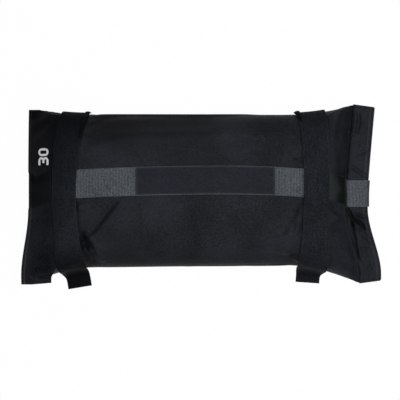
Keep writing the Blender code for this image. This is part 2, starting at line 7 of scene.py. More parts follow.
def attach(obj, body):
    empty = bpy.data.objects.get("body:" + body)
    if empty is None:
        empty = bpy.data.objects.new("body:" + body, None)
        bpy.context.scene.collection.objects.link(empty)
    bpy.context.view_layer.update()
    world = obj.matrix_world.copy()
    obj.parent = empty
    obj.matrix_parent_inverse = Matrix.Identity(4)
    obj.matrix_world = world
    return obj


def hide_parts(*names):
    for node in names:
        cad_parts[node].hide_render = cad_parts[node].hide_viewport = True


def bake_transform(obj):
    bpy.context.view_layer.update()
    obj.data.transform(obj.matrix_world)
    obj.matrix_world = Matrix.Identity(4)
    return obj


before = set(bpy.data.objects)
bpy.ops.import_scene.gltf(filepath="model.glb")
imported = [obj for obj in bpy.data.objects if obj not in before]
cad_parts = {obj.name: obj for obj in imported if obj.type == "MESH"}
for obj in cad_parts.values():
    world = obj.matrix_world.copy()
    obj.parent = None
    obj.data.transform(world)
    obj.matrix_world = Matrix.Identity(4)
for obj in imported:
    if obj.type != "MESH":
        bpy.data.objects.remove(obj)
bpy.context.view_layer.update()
scene = bpy.context.scene


def mix(start, end, share):
    return start + (end - start) * share


def clamp(value):
    return min(1.0, max(0.0, value))


def ease(share):
    share = clamp(share)
    return share * share * (3 - 2 * share)


def spread(start, end, count):
    return [mix(start, end, k / count) for k in range(count + 1)]


def pairs(*values):
    # points in metres from x, y, x, y ... in millimetres
    return [(x / 1000, y / 1000) for x, y in zip(values[::2], values[1::2])]


def foldRows(*rows):
    # rows of millimetres: depth of the trough, width, ridge on its left, ridge on its right, then its path
    return [(pairs(*row[4:]), *(value / 1000 for value in row[:4])) for row in rows]


def shadeRows(*rows):
    # rows of a strength of painted shade, then the width and the path in millimetres
    return [(pairs(*row[2:]), row[0], row[1] / 1000, 0, 0) for row in rows]


def dome(share):
    # rises steeply from 0 and levels out at 1, as stuffed cloth does beside its edge
    return math.sqrt(max(0.0, 1 - (1 - clamp(share)) ** 2))


def colourOf(red, green, blue):
    # screen colour 0..255 to the linear value that a shader wants
    return tuple((c / 12.92 if c <= 0.04045 else ((c + 0.055) / 1.055) ** 2.4)
                 for c in (red / 255, green / 255, blue / 255)) + (1.0,)


bagForm = {
    "widthLeft": 0.239, "widthRight": 0.2355, "height": 0.102, "seamHeight": 0.046,
    "centreLeftY": 0.0096, "centreRightY": 0.0112, "middleLength": 0.275, "middleX": -0.0175,
    "crownPower": 2.2, "bellyPower": 2.9, "bellyFlat": 1.06,
    "leftTaper": 0.098, "rightTaper": 0.1044, "flangeHeight": 0.044,
    "leftEndWidth": 0.274, "rightEndWidth": 0.279, "leftEndY": 0.0, "rightEndY": 0.0052,
    "leftFlareUpper": 0.0, "leftFlareLower": -0.012, "rightFlareUpper": 0.0125, "rightFlareLower": 0.022,
    "droop": 0.008,
    "leftPlump": 3.2, "rightPlump": 4.2, "lift": 1.6, "widen": 2.6, "endPower": 7.0,
    "upperFlarePower": 1.2, "flareStart": 0.15, "flareFull": 0.92,
    "panel": 0.001, "liner": 0.0005, "binding": 0.0008, "gap": 0.0003, "tape": 0.0008,
    "lipWidth": 0.0155, "hemWidth": 0.0369, "hemThickness": 0.0012, "hemClearance": 0.0006,
    "hemStart": 0.0025, "hemNarrowing": 0.005,
}
b = bagForm
fullLeftX = b["middleX"] - b["middleLength"] / 2
fullRightX = b["middleX"] + b["middleLength"] / 2
leftCreaseX = fullLeftX - b["leftTaper"]
rightCreaseX = fullRightX + b["rightTaper"]
lipEndX = leftCreaseX - b["lipWidth"]
foldX = lipEndX - 2 * b["gap"] - 0.0012
hemEndX = rightCreaseX + b["hemWidth"]
panelEndX = hemEndX - b["hemThickness"] - b["gap"]
lipHalf = b["gap"] / 2 + b["tape"] + b["gap"] + b["liner"] + b["gap"] + b["panel"]
hemHalf = b["gap"] / 2 + b["panel"]


def leftShare(x):
    return clamp((fullLeftX - x) / b["leftTaper"])


def rightShare(x):
    return clamp((x - fullRightX) / b["rightTaper"])


def endShare(x):
    return max(leftShare(x), rightShare(x))


def bothWays(reach, steps):
    # places from one tapered end into the other
    return spread(fullLeftX - b["leftTaper"] * reach, fullRightX + b["rightTaper"] * reach, steps)


def sectionAt(x):
    # centre, half width, seam height, height above and below it, outline powers above and below
    left = leftShare(x)
    end, share, endHalf = ("left", left, lipHalf) if left > 0 else ("right", rightShare(x), hemHalf)
    widen, plump = share ** b["widen"], share ** b[end + "Plump"]
    along = clamp((x - fullLeftX) / b["middleLength"])
    width = mix(b["widthLeft"], b["widthRight"], along)
    centre = mix(b["centreLeftY"], b["centreRightY"], along)
    narrow = b["hemNarrowing"] * clamp((x - rightCreaseX) / b["hemWidth"])
    seam = mix(b["seamHeight"], b["flangeHeight"], ease(share))
    crown = mix(b["height"], b["flangeHeight"] + endHalf, ease(plump))
    under = mix(0, b["flangeHeight"] - endHalf, ease(share ** b["lift"]))
    powers = (mix(b[power], b["endPower"], plump) for power in ("crownPower", "bellyPower"))
    return (mix(centre, b[end + "EndY"], widen), mix(width, b[end + "EndWidth"], widen) / 2 - narrow, seam,
            crown - seam, seam - under, *powers)


def warpPoint(x, y, z):
    # the corners of both ends flare and droop
    left = leftShare(x)
    end, share = ("left", left) if left > 0 else ("right", rightShare(x))
    side = (y - b[end + "EndY"]) / (b[end + "EndWidth"] / 2)
    if side < 0:
        flare = b[end + "FlareLower"] * ease((-side - b["flareStart"]) / (b["flareFull"] - b["flareStart"]))
    else:
        flare = b[end + "FlareUpper"] * side ** b["upperFlarePower"]
    return Vector((x + flare * share**2, y, z - b["droop"] * side**2 * share**3))


def sideShare(angle):
    return math.copysign(abs(math.cos(angle)) ** (2 / b["crownPower"]), math.cos(angle))


def riseOf(angle, power):
    return max(0.0, 1 - abs(sideShare(angle)) ** power) ** (1 / power)


def shellPoint(x, angle, grow=0.0, half=0):
    centre, halfWidth, seam, top, bottom, crownPower, bellyPower = sectionAt(x)
    if math.sin(angle) >= 0 and half >= 0:
        z = seam + (top + grow) * riseOf(angle, crownPower)
    else:
        z = seam - min((bottom * b["bellyFlat"] + grow) * riseOf(angle, bellyPower), bottom + grow)
    if half:
        z = half * max(half * z, half * seam + b["gap"] / 2)
    return warpPoint(x, centre + (halfWidth + grow) * sideShare(angle), z)


def angleAt(x, y):
    centre, halfWidth = sectionAt(x)[:2]
    side = (y - centre) / halfWidth
    return math.acos(math.copysign(abs(side) ** (b["crownPower"] / 2), side))


def lengthsAlong(points, least=0.0):
    walked = [0.0]
    for first, second in zip(points, points[1:]):
        walked.append(walked[-1] + max(least, (second - first).length))
    return walked


def evenTurns(low, high, count):
    # angles that lie evenly along the cloth round the bag's middle
    fine = spread(low, high, 900)
    walked = lengthsAlong([shellPoint(b["middleX"], angle) for angle in fine])
    turns, k = [], 0
    for want in spread(0.0, walked[-1], count):
        while k < len(fine) - 2 and walked[k + 1] < want:
            k += 1
        share = (want - walked[k]) / max(1e-9, walked[k + 1] - walked[k])
        turns.append(mix(fine[k], fine[k + 1], clamp(share)))
    return turns


def normalAt(surface, x, angle):
    along = surface(x + 0.0002, angle) - surface(x - 0.0002, angle)
    roundIt = surface(x, angle + 0.01) - surface(x, angle - 0.01)
    return roundIt.cross(along).normalized()


def bagNormal(x, angle):
    return normalAt(shellPoint, x, angle)


def pickOnly(piece):
    bpy.ops.object.select_all(action="DESELECT")
    bpy.context.view_layer.objects.active = piece
    piece.select_set(True)


shellSim = {
    "stations": 112, "turns": 128, "pressure": 4.0, "slack": 0.035, "frames": 20, "mass": 0.25, "quality": 7,
    "endInset": 0.002, "gripStart": 0.93, "gripLength": 0.05,
    "shrunk": 0.002, "cap": 0.006, "bending": 1.2, "smoothing": 6, "strength": 1.15, "most": 0.0028,
}


def simulateShell():
    # a closed tube of cloth, held at both flat ends and blown up
    s = shellSim
    count = s["turns"]
    stations = spread(leftCreaseX + s["endInset"], rightCreaseX - s["endInset"], s["stations"])
    places = [(x, 2 * math.pi * k / count) for x in stations for k in range(count)]
    base = [shellPoint(*place) for place in places]
    outward = [bagNormal(*place) for place in places]
    corners = []
    for here in range(0, len(places) - count, count):
        for k in range(count):
            beside = (k + 1) % count
            corners.append((here + k, here + count + k, here + count + beside, here + beside))
    mesh = bpy.data.meshes.new("shellCloth")
    mesh.from_pydata([p - out * s["shrunk"] for p, out in zip(base, outward)], [], corners)
    shell = bpy.data.objects.new("shellCloth", mesh)
    scene.collection.objects.link(shell)
    held = shell.vertex_groups.new(name="held")
    for i, x in enumerate(stations):
        grip = ease((endShare(x) - s["gripStart"]) / s["gripLength"])
        if grip > 0:
            held.add(range(i * count, (i + 1) * count), grip, "REPLACE")
    cloth = shell.modifiers.new("cloth", "CLOTH")
    settings = cloth.settings
    settings.quality = s["quality"]
    settings.mass = s["mass"]
    settings.bending_stiffness = s["bending"]
    settings.use_pressure = True
    settings.uniform_pressure_force = s["pressure"]
    settings.shrink_min = -s["slack"]
    settings.vertex_group_mass = "held"
    settings.effector_weights.gravity = 0.0
    cloth.point_cache.frame_start = 1
    cloth.point_cache.frame_end = s["frames"]
    for step in range(1, s["frames"] + 1):
        scene.frame_set(step)
    pickOnly(shell)
    bpy.ops.object.modifier_apply(modifier="cloth")
    rise = [min(s["cap"], max(-s["cap"], (vertex.co - point).dot(out)))
            for vertex, point, out in zip(shell.data.vertices, base, outward)]
    bpy.data.objects.remove(shell, do_unlink=True)
    scene.frame_set(1)
    rows = [rise[at:at + count] for at in range(0, len(rise), count)]
    # only the creases are kept: the broad swelling is taken off, so the form stays the model's
    broad = blurRows(blurRows(rows, s["smoothing"]), s["smoothing"])
    return stations, [[(a - c) * s["strength"] for a, c in zip(r, q)] for r, q in zip(rows, broad)]


def blurRows(rows, reach):
    count, wide, near = len(rows), len(rows[0]), range(-reach, reach + 1)
    across = [[sum(row[(k + d) % wide] for d in near) / len(near) for k in range(wide)] for row in rows]
    return [[sum(column) / len(near) for column in zip(*(across[min(count - 1, max(0, i + d))] for d in near))]
            for i in range(count)]


print("simulating the cloth shell")
simStations, simRise = simulateShell()


def cubic(p0, p1, p2, p3, t):
    return p1 + 0.5 * t * (p2 - p0 + t * (2 * p0 - 5 * p1 + 4 * p2 - p3 + t * (3 * (p1 - p2) + p3 - p0)))


def simulatedRise(x, angle):
    if simRise is None:
        return 0.0
    last, turnCount = len(simStations) - 1, shellSim["turns"]
    along = clamp((x - simStations[0]) / (simStations[-1] - simStations[0])) * last
    turn = (angle / (2 * math.pi) * turnCount) % turnCount
    i, k = min(int(along), last - 1), int(turn)
    values = []
    for di in (-1, 0, 1, 2):
        row = simRise[min(last, max(0, i + di))]
        values.append(cubic(*(row[(k + dk) % turnCount] for dk in (-1, 0, 1, 2)), turn - k))
    return cubic(*values, along - i)


# Folds in the front
bagFolds = foldRows(
    (3, 2.4, 0, 1.8, -127, -8, -147.2, -33, -160, -50, -168, -58),
    (-4.4, 2.8, 0, 0, -175.7, -54.6, -164, -72, -151.6, -96.2),
    (-4, 2.8, 0, 0, -186, -60, -175.7, -54.6),
    (8.5, 9.5, 0, 0, -185, -64, -173, -90, -167, -104),
    (6, 4, 0, 1.4, -190.3, 90, -186, 111.8, -179, 125.7),
    (-2.2, 9, 0, 0, -164, 76, -121.3, 93, 36.8, 96.5),
    (2, 9, 0, 0, -150, 108, -90, 113, 10, 115),
    (3.4, 5, 1.8, 0, 205, 18, 227, 4),
    (4, 5.5, 0, 2.2, 196, -12, 230, -30),
    (2.6, 6, 1.4, 0, 198, -50, 236, -38),
    (2.4, 8, 1.2, 0, 195, -95, 240, -110),
    (2, 8, 0, 0.8, 198, 80, 230, 100),
    (1.2, 11, 0.6, 0, 10, 80, 75, 93),
    (1.6, 10, 0, 1, -70, -30, -78, -60, -90, -90),
    (1.2, 9, 0.8, 0, -20, -26, -12, -82),
    (1.4, 10, 0, 0.8, 45, -30, 60, -60, 70, -94),
    (1.4, 9, 0, 0.8, 100, -30, 115, -80),
    (1.2, 7, 0, 0.6, -135, 60, -155, 70),
)


def foldsAt(folds, x, y):
    total = 0.0
    for path, depth, width, ridgeLeft, ridgeRight in folds:
        parts = []
        for (x1, y1), (x2, y2) in zip(path, path[1:]):
            dx, dy = x2 - x1, y2 - y1
            length = math.hypot(dx, dy)
            along = ((x - x1) * dx + (y - y1) * dy) / length
            aside = ((y - y1) * dx - (x - x1) * dy) / length
            beyond = max(0.0, -along, along - length)
            parts.append((math.hypot(beyond, aside), aside, beyond))
        away, aside, beyond = min(parts, key=lambda part: part[0])
        if away <= 4 * width:
            for size, shift in ((-depth, 0), (ridgeLeft, 1.7), (ridgeRight, -1.7)):
                if size:
                    total += size * math.exp(-(beyond / width) ** 2) * math.exp(-(aside / width - shift) ** 2)
    return total


def heightAlong(line, x):
    # a line of (x, y) points, read as y at x
    for (x1, y1), (x2, y2) in zip(line, line[1:]):
        if x < x2:
            return mix(y1, y2, (x - x1) / (x2 - x1))
    return line[-1][1]


# The hollow across the left end, which the flap sinks into
hollow = {
    "upperLine": pairs(-276, 42, -265.2, 36.3, -255.8, 29.3, -230.1, 38.6, -210, 40),
    "lowerLine": pairs(-276, -20, -264.4, -16, -249.6, -10.5, -230.9, -5.1, -210, 0),
    "edge": 0.011, "depth": 0.003, "endX": -0.215,
}


def hollowAt(x, y):
    below = ease((heightAlong(hollow["upperLine"], x) - y) / hollow["edge"] + 0.5)
    above = ease((y - heightAlong(hollow["lowerLine"], x)) / hollow["edge"] + 0.5)
    return below * above


strapForm = {
    "width": 0.038, "thickness": 0.0016, "clearance": 0.0009, "bandRise": 0.0016, "standoff": 0.0008,
    "tapeWidth": 0.034, "hingeRise": 0.002, "splay": 0.012, "tapeInset": 0.002, "loopAngle": math.radians(45),
    "left": {"place": leftCreaseX + 0.044, "bow": (0.013, 0.0128), "reach": 0.0305, "turn": math.radians(9.5)},
    "right": {"place": rightCreaseX - 0.049, "bow": (-0.0065, -0.008), "reach": 0.0258, "turn": math.radians(-4.0)},
    "leftLength": 0.42, "rightLength": 0.411, "leftHooks": 0.037, "rightHooks": 0.033,
    # painted shade along each strap: darker toward both ends, where it bends round the bag
    "leftDim": [(-0.145, 0.8), (-0.1112, 0.9), (-0.0955, 0.5), (-0.0751, 0.12), (-0.0515, 0.0), (0.0113, 0.0),
                (0.0349, 0.15), (0.0741, 0.5), (0.1134, 0.8), (0.132, 0.92)],
    "rightDim": [(-0.145, 0.45), (-0.12, 0.55), (-0.108, 0.45), (-0.09, 0.0), (0.09, 0.0), (0.132, 0.3)],
    "frontTurns": (math.pi / 46, math.pi * 91 / 92), "backTurns": (math.pi * 42 / 32, 2 * math.pi - 0.03),
    "loopTurns": (math.pi * 44 / 32, math.pi * 52 / 32), "frontSteps": 130, "backSteps": 70, "loopSteps": 20,
    "columns": 16, "tapeColumns": 12, "tapeFrom": 10,
    "drop": ((0.22, 0.72), (0.48, 0.44), (0.75, 0.21), (1.05, 0.07), (1.6, 0.0)),
}


def strapX(side, angle):
    way = math.cos(angle)
    return strapForm[side]["place"] + strapForm[side]["bow"][0 if way > 0 else 1] * way * way


# How the cloth calms down: at its flat ends, under the bag, on the floor, beside the straps and at the seams
calmForm = {
    "endStart": 0.86, "endLength": 0.12, "underMost": 0.0004, "floorHeight": 0.004, "onFloor": 0.3,
    "atStrap": 0.35, "strapMargin": 0.002, "strapLength": 0.008, "atSeam": 0.25, "seamReach": 0.35,
}


def besideStrap(side, x, angle):
    return abs(x - strapX(side, angle)) - strapForm["width"] / 2


def bagRise(x, angle):
    # how far the cloth stands from the plain form: simulated creases, folds, and what presses on it
    c = calmForm
    ends = 1 - ease((endShare(x) - c["endStart"]) / c["endLength"])
    if ends <= 0:
        return 0.0
    most = shellSim["most"]
    rise = min(most, max(-most, simulatedRise(x, angle)))
    if math.sin(angle) > 0:
        point = shellPoint(x, angle)
        rise += foldsAt(bagFolds, point.x, point.y)
        if point.x < hollow["endX"]:
            rise -= hollow["depth"] * hollowAt(point.x, point.y)
    else:
        rise = min(rise, c["underMost"])
        if shellPoint(x, angle).z < c["floorHeight"]:
            rise *= c["onFloor"]
    for side in ("left", "right"):
        past = besideStrap(side, x, angle) + c["strapMargin"]
        rise *= mix(c["atStrap"], 1.0, ease(past / c["strapLength"]))
    return rise * ends * mix(c["atSeam"], 1.0, ease(abs(math.sin(angle)) / c["seamReach"]))


def bagPoint(x, angle, lift=0.0, half=0):
    return shellPoint(x, angle, 0.0, half) + bagNormal(x, angle) * (bagRise(x, angle) + lift)


def layRows(name, rows, flip=False, wear=None, weld=False, dim=None):
    # a grid primitive laid out on rows of points, with its own weave map in metres
    bpy.ops.object.select_all(action="DESELECT")
    last, across = len(rows) - 1, len(rows[0]) - 1
    bpy.ops.mesh.primitive_grid_add(x_subdivisions=last, y_subdivisions=across, size=1)
    piece = bpy.context.object
    mesh = piece.data
    piece.name = mesh.name = name
    alongAt = lengthsAlong([row[across // 2] for row in rows], 1e-6)
    acrossAt = lengthsAlong(rows[len(rows) // 2])
    spots = [(round((v.co.x + 0.5) * last), round((v.co.y + 0.5) * across)) for v in mesh.vertices]
    for vertex, (i, j) in zip(mesh.vertices, spots):
        vertex.co = rows[i][j]
    weave = mesh.uv_layers[0]
    weave.name = "weave"
    for loop in mesh.loops:
        i, j = spots[loop.vertex_index]
        weave.data[loop.index].uv = (alongAt[i], acrossAt[j])
    shades = {"rubbed": [wear(i / last, j / across) if wear else 0.0 for i, j in spots]}
    if dim:
        shades["dim"] = [dim[i][j] for i, j in spots]
    for label, shade in shades.items():
        mesh.attributes.new(label, "FLOAT", "POINT").data.foreach_set("value", shade)
    pickOnly(piece)
    startEditing()
    if flip:
        bpy.ops.mesh.flip_normals()
    if weld:
        bpy.ops.mesh.remove_doubles(threshold=0.00002)
        bpy.ops.mesh.normals_make_consistent(inside=False)
    bpy.ops.object.mode_set(mode="OBJECT")
    return piece


def startEditing():
    bpy.ops.object.mode_set(mode="EDIT")
    bpy.ops.mesh.select_all(action="SELECT")


def applyModifier(piece, kind, **settings):
    modifier = piece.modifiers.new(kind, kind)
    for key, value in settings.items():
        setattr(modifier, key, value)
    bpy.ops.object.modifier_apply(modifier=modifier.name)


def finishPiece(piece, look, thickness=0.0, edge=0.0):
    pickOnly(piece)
    if thickness:
        applyModifier(piece, "SOLIDIFY", thickness=thickness, offset=-1, use_even_offset=False)
    if edge:
        applyModifier(piece, "BEVEL", width=edge, segments=2, limit_method="ANGLE", angle_limit=math.radians(50))
    piece.data.materials.clear()
    piece.data.materials.append(materials[look])
    bpy.ops.object.shade_smooth_by_angle(angle=math.radians(40))


def makeSheet(name, rows, look, thickness, edge, flat, held, restsOn, body, slotName, *nodes, area=None, **laying):
    # cloth, tape or webbing whose outer face lies on the rows of points
    piece = layRows(name, rows, **laying)
    finishPiece(piece, look, thickness, edge)
    fitPiece(piece, body, slotName, *nodes)


def fitPiece(piece, body, slotName, *nodes):
    if body == "flapFold":
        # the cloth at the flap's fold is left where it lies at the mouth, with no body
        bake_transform(piece)
    else:
        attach(piece, body)
    if nodes:
        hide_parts(*nodes)


def cornerWear(reach):
    # rubbed along all four edges of a sheet
    def wear(u, v):
        return clamp(1 - min(u, 1 - u, v, 1 - v) / reach)
    return wear


class NodeKit:
    # short ways to add nodes to a material or a world
    def __init__(self, owner):
        owner.use_nodes = True
        self.nodes, self.links = owner.node_tree.nodes, owner.node_tree.links

    def feed(self, node, values):
        for key, value in dict(values).items():
            if isinstance(value, bpy.types.NodeSocket):
                self.links.new(value, node.inputs[key])
            else:
                node.inputs[key].default_value = value

    def add(self, kind, output, values=(), **settings):
        node = self.nodes.new("ShaderNode" + kind)
        for key, value in settings.items():
            setattr(node, key, value)
        self.feed(node, values)
        return node.outputs[output]

    def math(self, operation, *values):
        return self.add("Math", 0, enumerate(values), operation=operation)

    def noise(self, coords, scale, detail):
        return self.add("TexNoise", "Fac", {"Scale": scale, "Detail": detail, "Vector": coords})

    def blend(self, factor, first, second):
        values = {"Factor": factor, "A": first, "B": second}
        return self.add("Mix", "Result", values, data_type="RGBA", clamp_factor=True)

    def bump(self, height, distance, strength):
        return self.add("Bump", "Normal", {"Height": height, "Distance": distance, "Strength": strength})


def startMaterial(name, look):
    material = bpy.data.materials.new(name)
    kit = NodeKit(material)
    shader = kit.nodes["Principled BSDF"]
    kit.feed(shader, {"Metallic": 0.0, "Specular IOR Level": look["specular"], "Sheen Weight": look.get("sheen", 0.0),
                      "Sheen Roughness": 0.45, "Sheen Tint": (0.75, 0.85, 1.0, 1.0)})
    return material, kit, shader


def wovenMaterial(name, look):
    # threads from the weave map, patches and lint from object coordinates, rubbed edges from the piece
    material, kit, shader = startMaterial(name, look)
    weave = kit.add("UVMap", "UV", uv_map="weave")
    coords = kit.add("TexCoord", "Object")

    def wave(axis, pitch):
        return kit.math("SINE", kit.math("MULTIPLY", kit.add("SeparateXYZ", axis, {0: weave}), 2 * math.pi / pitch))

    def vary(base, value, share):
        return kit.math("MULTIPLY_ADD", kit.math("SUBTRACT", value, 0.5), share, base)

    warp, weft = wave("X", look["warpPitch"]), wave("Y", look["weftPitch"])
    if "ribs" in look:
        threads = kit.math("MULTIPLY_ADD", weft, 1 - look["ribs"], kit.math("MULTIPLY", warp, look["ribs"]))
    else:
        threads = kit.math("MULTIPLY", warp, weft)
    patches = kit.noise(coords, 14, 3)
    factor = vary(vary(0.5, patches, look["patchy"]), kit.noise(coords, 430, 2), look["grain"])
    factor = kit.math("MULTIPLY_ADD", threads, look["threadShade"], factor)
    colour = kit.blend(factor, look["dark"], look["light"])
    rubbed = kit.add("Attribute", "Fac", attribute_name="rubbed")
    worn = kit.math("MULTIPLY", rubbed, kit.math("MULTIPLY", patches, 1.6))
    specks = kit.math("MULTIPLY", kit.math("GREATER_THAN", kit.noise(coords, 1400, 1), 0.73), 0.35)
    colour = kit.blend(kit.math("MULTIPLY", kit.math("ADD", worn, specks), look["wear"]), colour, look["worn"])
    # painted shade: the colour goes toward the look's dim colour where the piece's dim attribute says
    if "dim" in look:
        colour = kit.blend(kit.add("Attribute", "Fac", attribute_name="dim"), colour, look["dim"])
    soft = kit.bump(kit.noise(coords, look.get("crumpleScale", 70), 3), 0.0012, look["crumple"])
    relief = {"Height": threads, "Distance": look.get("threadDepth", 0.00015),
              "Strength": look.get("threadStrength", 0.5), "Normal": soft}
    kit.feed(shader, {"Base Color": colour, "Normal": kit.add("Bump", "Normal", relief),
                      "Roughness": kit.math("MULTIPLY_ADD", patches, 0.12, look["roughness"] - 0.06)})
    return material


def grainyMaterial(name, look):
    # sand, hook and loop pile, thread and print: grain from object coordinates only
    material, kit, shader = startMaterial(name, look)
    coords = kit.add("TexCoord", "Object")
    cells = kit.add("TexVoronoi", "Distance", {"Scale": look["cellScale"], "Vector": coords})
    patches = kit.noise(coords, 20, 4)
    factor = kit.math("MULTIPLY_ADD", cells, look["grain"], kit.math("MULTIPLY", patches, look["patchy"]))
    kit.feed(shader, {"Base Color": kit.blend(factor, look["dark"], look["light"]),
                      "Roughness": kit.math("MULTIPLY_ADD", patches, 0.15, look["roughness"] - 0.07),
                      "Normal": kit.bump(cells, look["depth"], look["strength"])})
    return material


plainWeave = {
    "warpPitch": 0.0009, "weftPitch": 0.0008, "patchy": 1.9, "grain": 1.9, "threadShade": 0.25, "roughness": 0.5,
    "specular": 0.075, "crumple": 0.6, "crumpleScale": 60,
}
# each dim colour is painted shade, laid where a piece's dim attribute is set
looks = {
    "blackCloth": {**plainWeave, "dark": (6, 8, 12), "light": (34, 37, 43), "worn": (58, 61, 68), "dim": (5, 6, 8),
                   "grain": 2.0, "crumple": 0.5, "wear": 0.35},
    "flapCloth": {**plainWeave, "dark": (7, 8, 11), "light": (39, 41, 47), "worn": (92, 94, 100), "dim": (4, 5, 7),
                  "specular": 0.022, "wear": 0.6},
    "hemCloth": {**plainWeave, "dark": (6, 8, 12), "light": (32, 35, 41), "worn": (88, 91, 97), "dim": (4, 4, 5),
                 "wear": 0.5},
    "webbing": {"dark": (11, 12, 15), "light": (43, 45, 51), "worn": (56, 58, 63), "dim": (5, 6, 7),
                "warpPitch": 0.0012, "weftPitch": 0.0021, "ribs": 0.35, "patchy": 1.0, "grain": 1.6,
                "threadShade": 0.3, "roughness": 0.6, "specular": 0.02, "threadDepth": 0.0002, "crumple": 0.3,
                "wear": 0.16},
    "bandMesh": {"dark": (36, 41, 47), "light": (98, 103, 108), "worn": (104, 108, 113), "dim": (11, 14, 13),
                 "warpPitch": 0.0023, "weftPitch": 0.0016, "ribs": 0.7, "patchy": 0.8, "grain": 1.5,
                 "threadShade": 0.4, "roughness": 0.65, "specular": 0.05, "threadDepth": 0.0003,
                 "threadStrength": 0.8, "crumple": 0.15, "wear": 0.3},
    "labelWeave": {"dark": (20, 23, 29), "light": (38, 41, 48), "worn": (66, 69, 75),
                   "warpPitch": 0.0007, "weftPitch": 0.0007, "patchy": 0.8, "grain": 2.0, "threadShade": 0.25,
                   "roughness": 0.5, "specular": 0.055, "crumple": 0.15, "wear": 0.4},
    "lining": {"dark": (52, 52, 55), "light": (68, 68, 72), "worn": (90, 90, 92),
               "warpPitch": 0.0005, "weftPitch": 0.0005, "patchy": 0.7, "grain": 0.5, "threadShade": 0.15,
               "roughness": 0.5, "specular": 0.35, "crumple": 0.5, "crumpleScale": 40, "wear": 0.2},
    "loopPile": {"dark": (10, 10, 11), "light": (34, 34, 36), "cellScale": 900, "grain": 0.8, "patchy": 0.5,
                 "roughness": 0.95, "specular": 0.12, "sheen": 0.08, "depth": 0.0005, "strength": 0.9},
    "hookPile": {"dark": (8, 8, 9), "light": (30, 30, 31), "cellScale": 620, "grain": 0.9, "patchy": 0.3,
                 "roughness": 0.6, "specular": 0.3, "depth": 0.0006, "strength": 1.0},
    "sand": {"dark": (128, 102, 72), "light": (206, 178, 138), "cellScale": 800, "grain": 0.9, "patchy": 0.7,
             "roughness": 0.95, "specular": 0.3, "depth": 0.0008, "strength": 1.0},
    "print": {"dark": (232, 232, 232), "light": (252, 252, 252), "cellScale": 1100, "grain": 0.5, "patchy": 0.6,
              "roughness": 0.7, "specular": 0.2, "depth": 0.0001, "strength": 0.4},
    "thread": {"dark": (30, 32, 36), "light": (56, 59, 64), "cellScale": 1600, "grain": 0.8, "patchy": 0.4,
               "roughness": 0.6, "specular": 0.1, "depth": 0.0001, "strength": 0.5},
}
materials = {}
for key, values in looks.items():
    look = {part: colourOf(*value) if isinstance(value, tuple) else value for part, value in values.items()}
    materials[key] = (grainyMaterial if "cellScale" in look else wovenMaterial)(key, look)


panelDetail = {"stations": 230, "frontTurns": 160, "backTurns": 90, "lowest": 0.0001, "wear": 0.8,
               "strapDim": 0.6, "strapGap": 0.001, "strapReach": 0.002, "hemDim": 0.25}


def panelWear(u, v):
    return panelDetail["wear"] * clamp(1 - min(v, 1 - v) / 0.03)


# Painted shade in the cloth: in its creases and pockets, beside the straps, along its edges, and where it turns away
# from the lamp
panelShadeLines = shadeRows(
    (0.75, 3, -188.5, -10, -187.2, -30, -185, -52),
    (1, 8.5, -180.5, -62, -176.7, -74.2, -175, -95, -173.5, -106),
    (0.38, 10, 203, -100, 220, -106),
    (0.6, 1.7, -129, -10, -147.2, -33, -160, -50, -168, -58),
    (0.35, 6, 212, 34, 226, 40),
    (0.52, 24, -130, 100, 0, 104),
    (0.32, 24, -155, -45, -110, -90),
    (0.8, 2.4, -190.3, 86, -186, 108, -179, 118),
    (0.7, 30, -190, 110, -130, 118),
    (0.3, 16, -90, 118, 130, 118),
    (0.75, 18, -150, -108, 160, -108),
    (0.6, 6, 138, -88, 148, -101),
    (0.45, 9, 209, 100, 214, 30),
)


# Painted shade on the panels: along the shade lines, in the hem's crease, and as contact shadows beside the straps
def paintedPanelShade(x, angle, point):
    if math.sin(angle) <= 0:
        return 0.0
    d = panelDetail
    total = -foldsAt(panelShadeLines, point.x, point.y)
    total += mix(d["hemDim"], 1.0, ease(point.y / 0.04 + 0.5)) * math.exp(-((x - rightCreaseX - 0.001) / 0.003) ** 2)
    for side in ("left", "right"):
        total += d["strapDim"] * math.exp(-((besideStrap(side, x, angle) - d["strapGap"]) / d["strapReach"]) ** 2)
    return clamp(total)


def makePanel(name, node, half, firstX):
    way, steps = ((0, math.pi), "frontTurns") if half > 0 else ((math.pi, 2 * math.pi), "backTurns")
    turns = evenTurns(*way, panelDetail[steps])
    rows, dim = [], []
    for x in [firstX] + spread(lipEndX + 0.001, panelEndX, panelDetail["stations"]):
        row = [bagPoint(x, angle, 0.0, half) for angle in turns]
        for point in row:
            point.z = max(point.z, panelDetail["lowest"])
        rows.append(row)
        dim.append([paintedPanelShade(x, angle, point) for angle, point in zip(turns, row)])
    piece = layRows(name, rows, flip=True, wear=panelWear, dim=dim)
    finishPiece(piece, "blackCloth", b["panel"])
    fitPiece(piece, "bag", "black_cloth", node)


print("making the panels")
makePanel("frontPanel", "front_panel", 1, lipEndX)
makePanel("backPanel", "back_panel", -1, foldX)


innerForm = {
    "around": 96, "liningSteps": 120, "liningReach": 0.88, "sandSteps": 110, "sandReach": 0.82,
    "sandSlack": 0.0013, "lumps": ((45, 0.0009), (160, 0.0004)),
    "bindingSteps": 150, "bindingTurn": math.pi / 16, "bindingReach": 0.75,
    "tapeTurn": math.pi / 8, "tapeInset": 0.0012,
}


def linerInset(x):
    pastBinding = (endShare(x) - 0.75) / 0.25
    body = b["panel"] + b["gap"] + b["binding"] + b["gap"]
    return mix(body, b["panel"] + b["gap"], clamp(pastBinding))


def innerPoint(x, angle, inset):
    # a layer inside the bag, which follows the cloth's creases but never passes them
    near = ((0, 0), (0.004, 0), (-0.004, 0), (0, 0.03), (0, -0.03))
    rise = min(bagRise(x + dx, angle + turn) for dx, turn in near)
    return shellPoint(x, angle, -inset) + bagNormal(x, angle) * min(0.0, rise * 1.1)


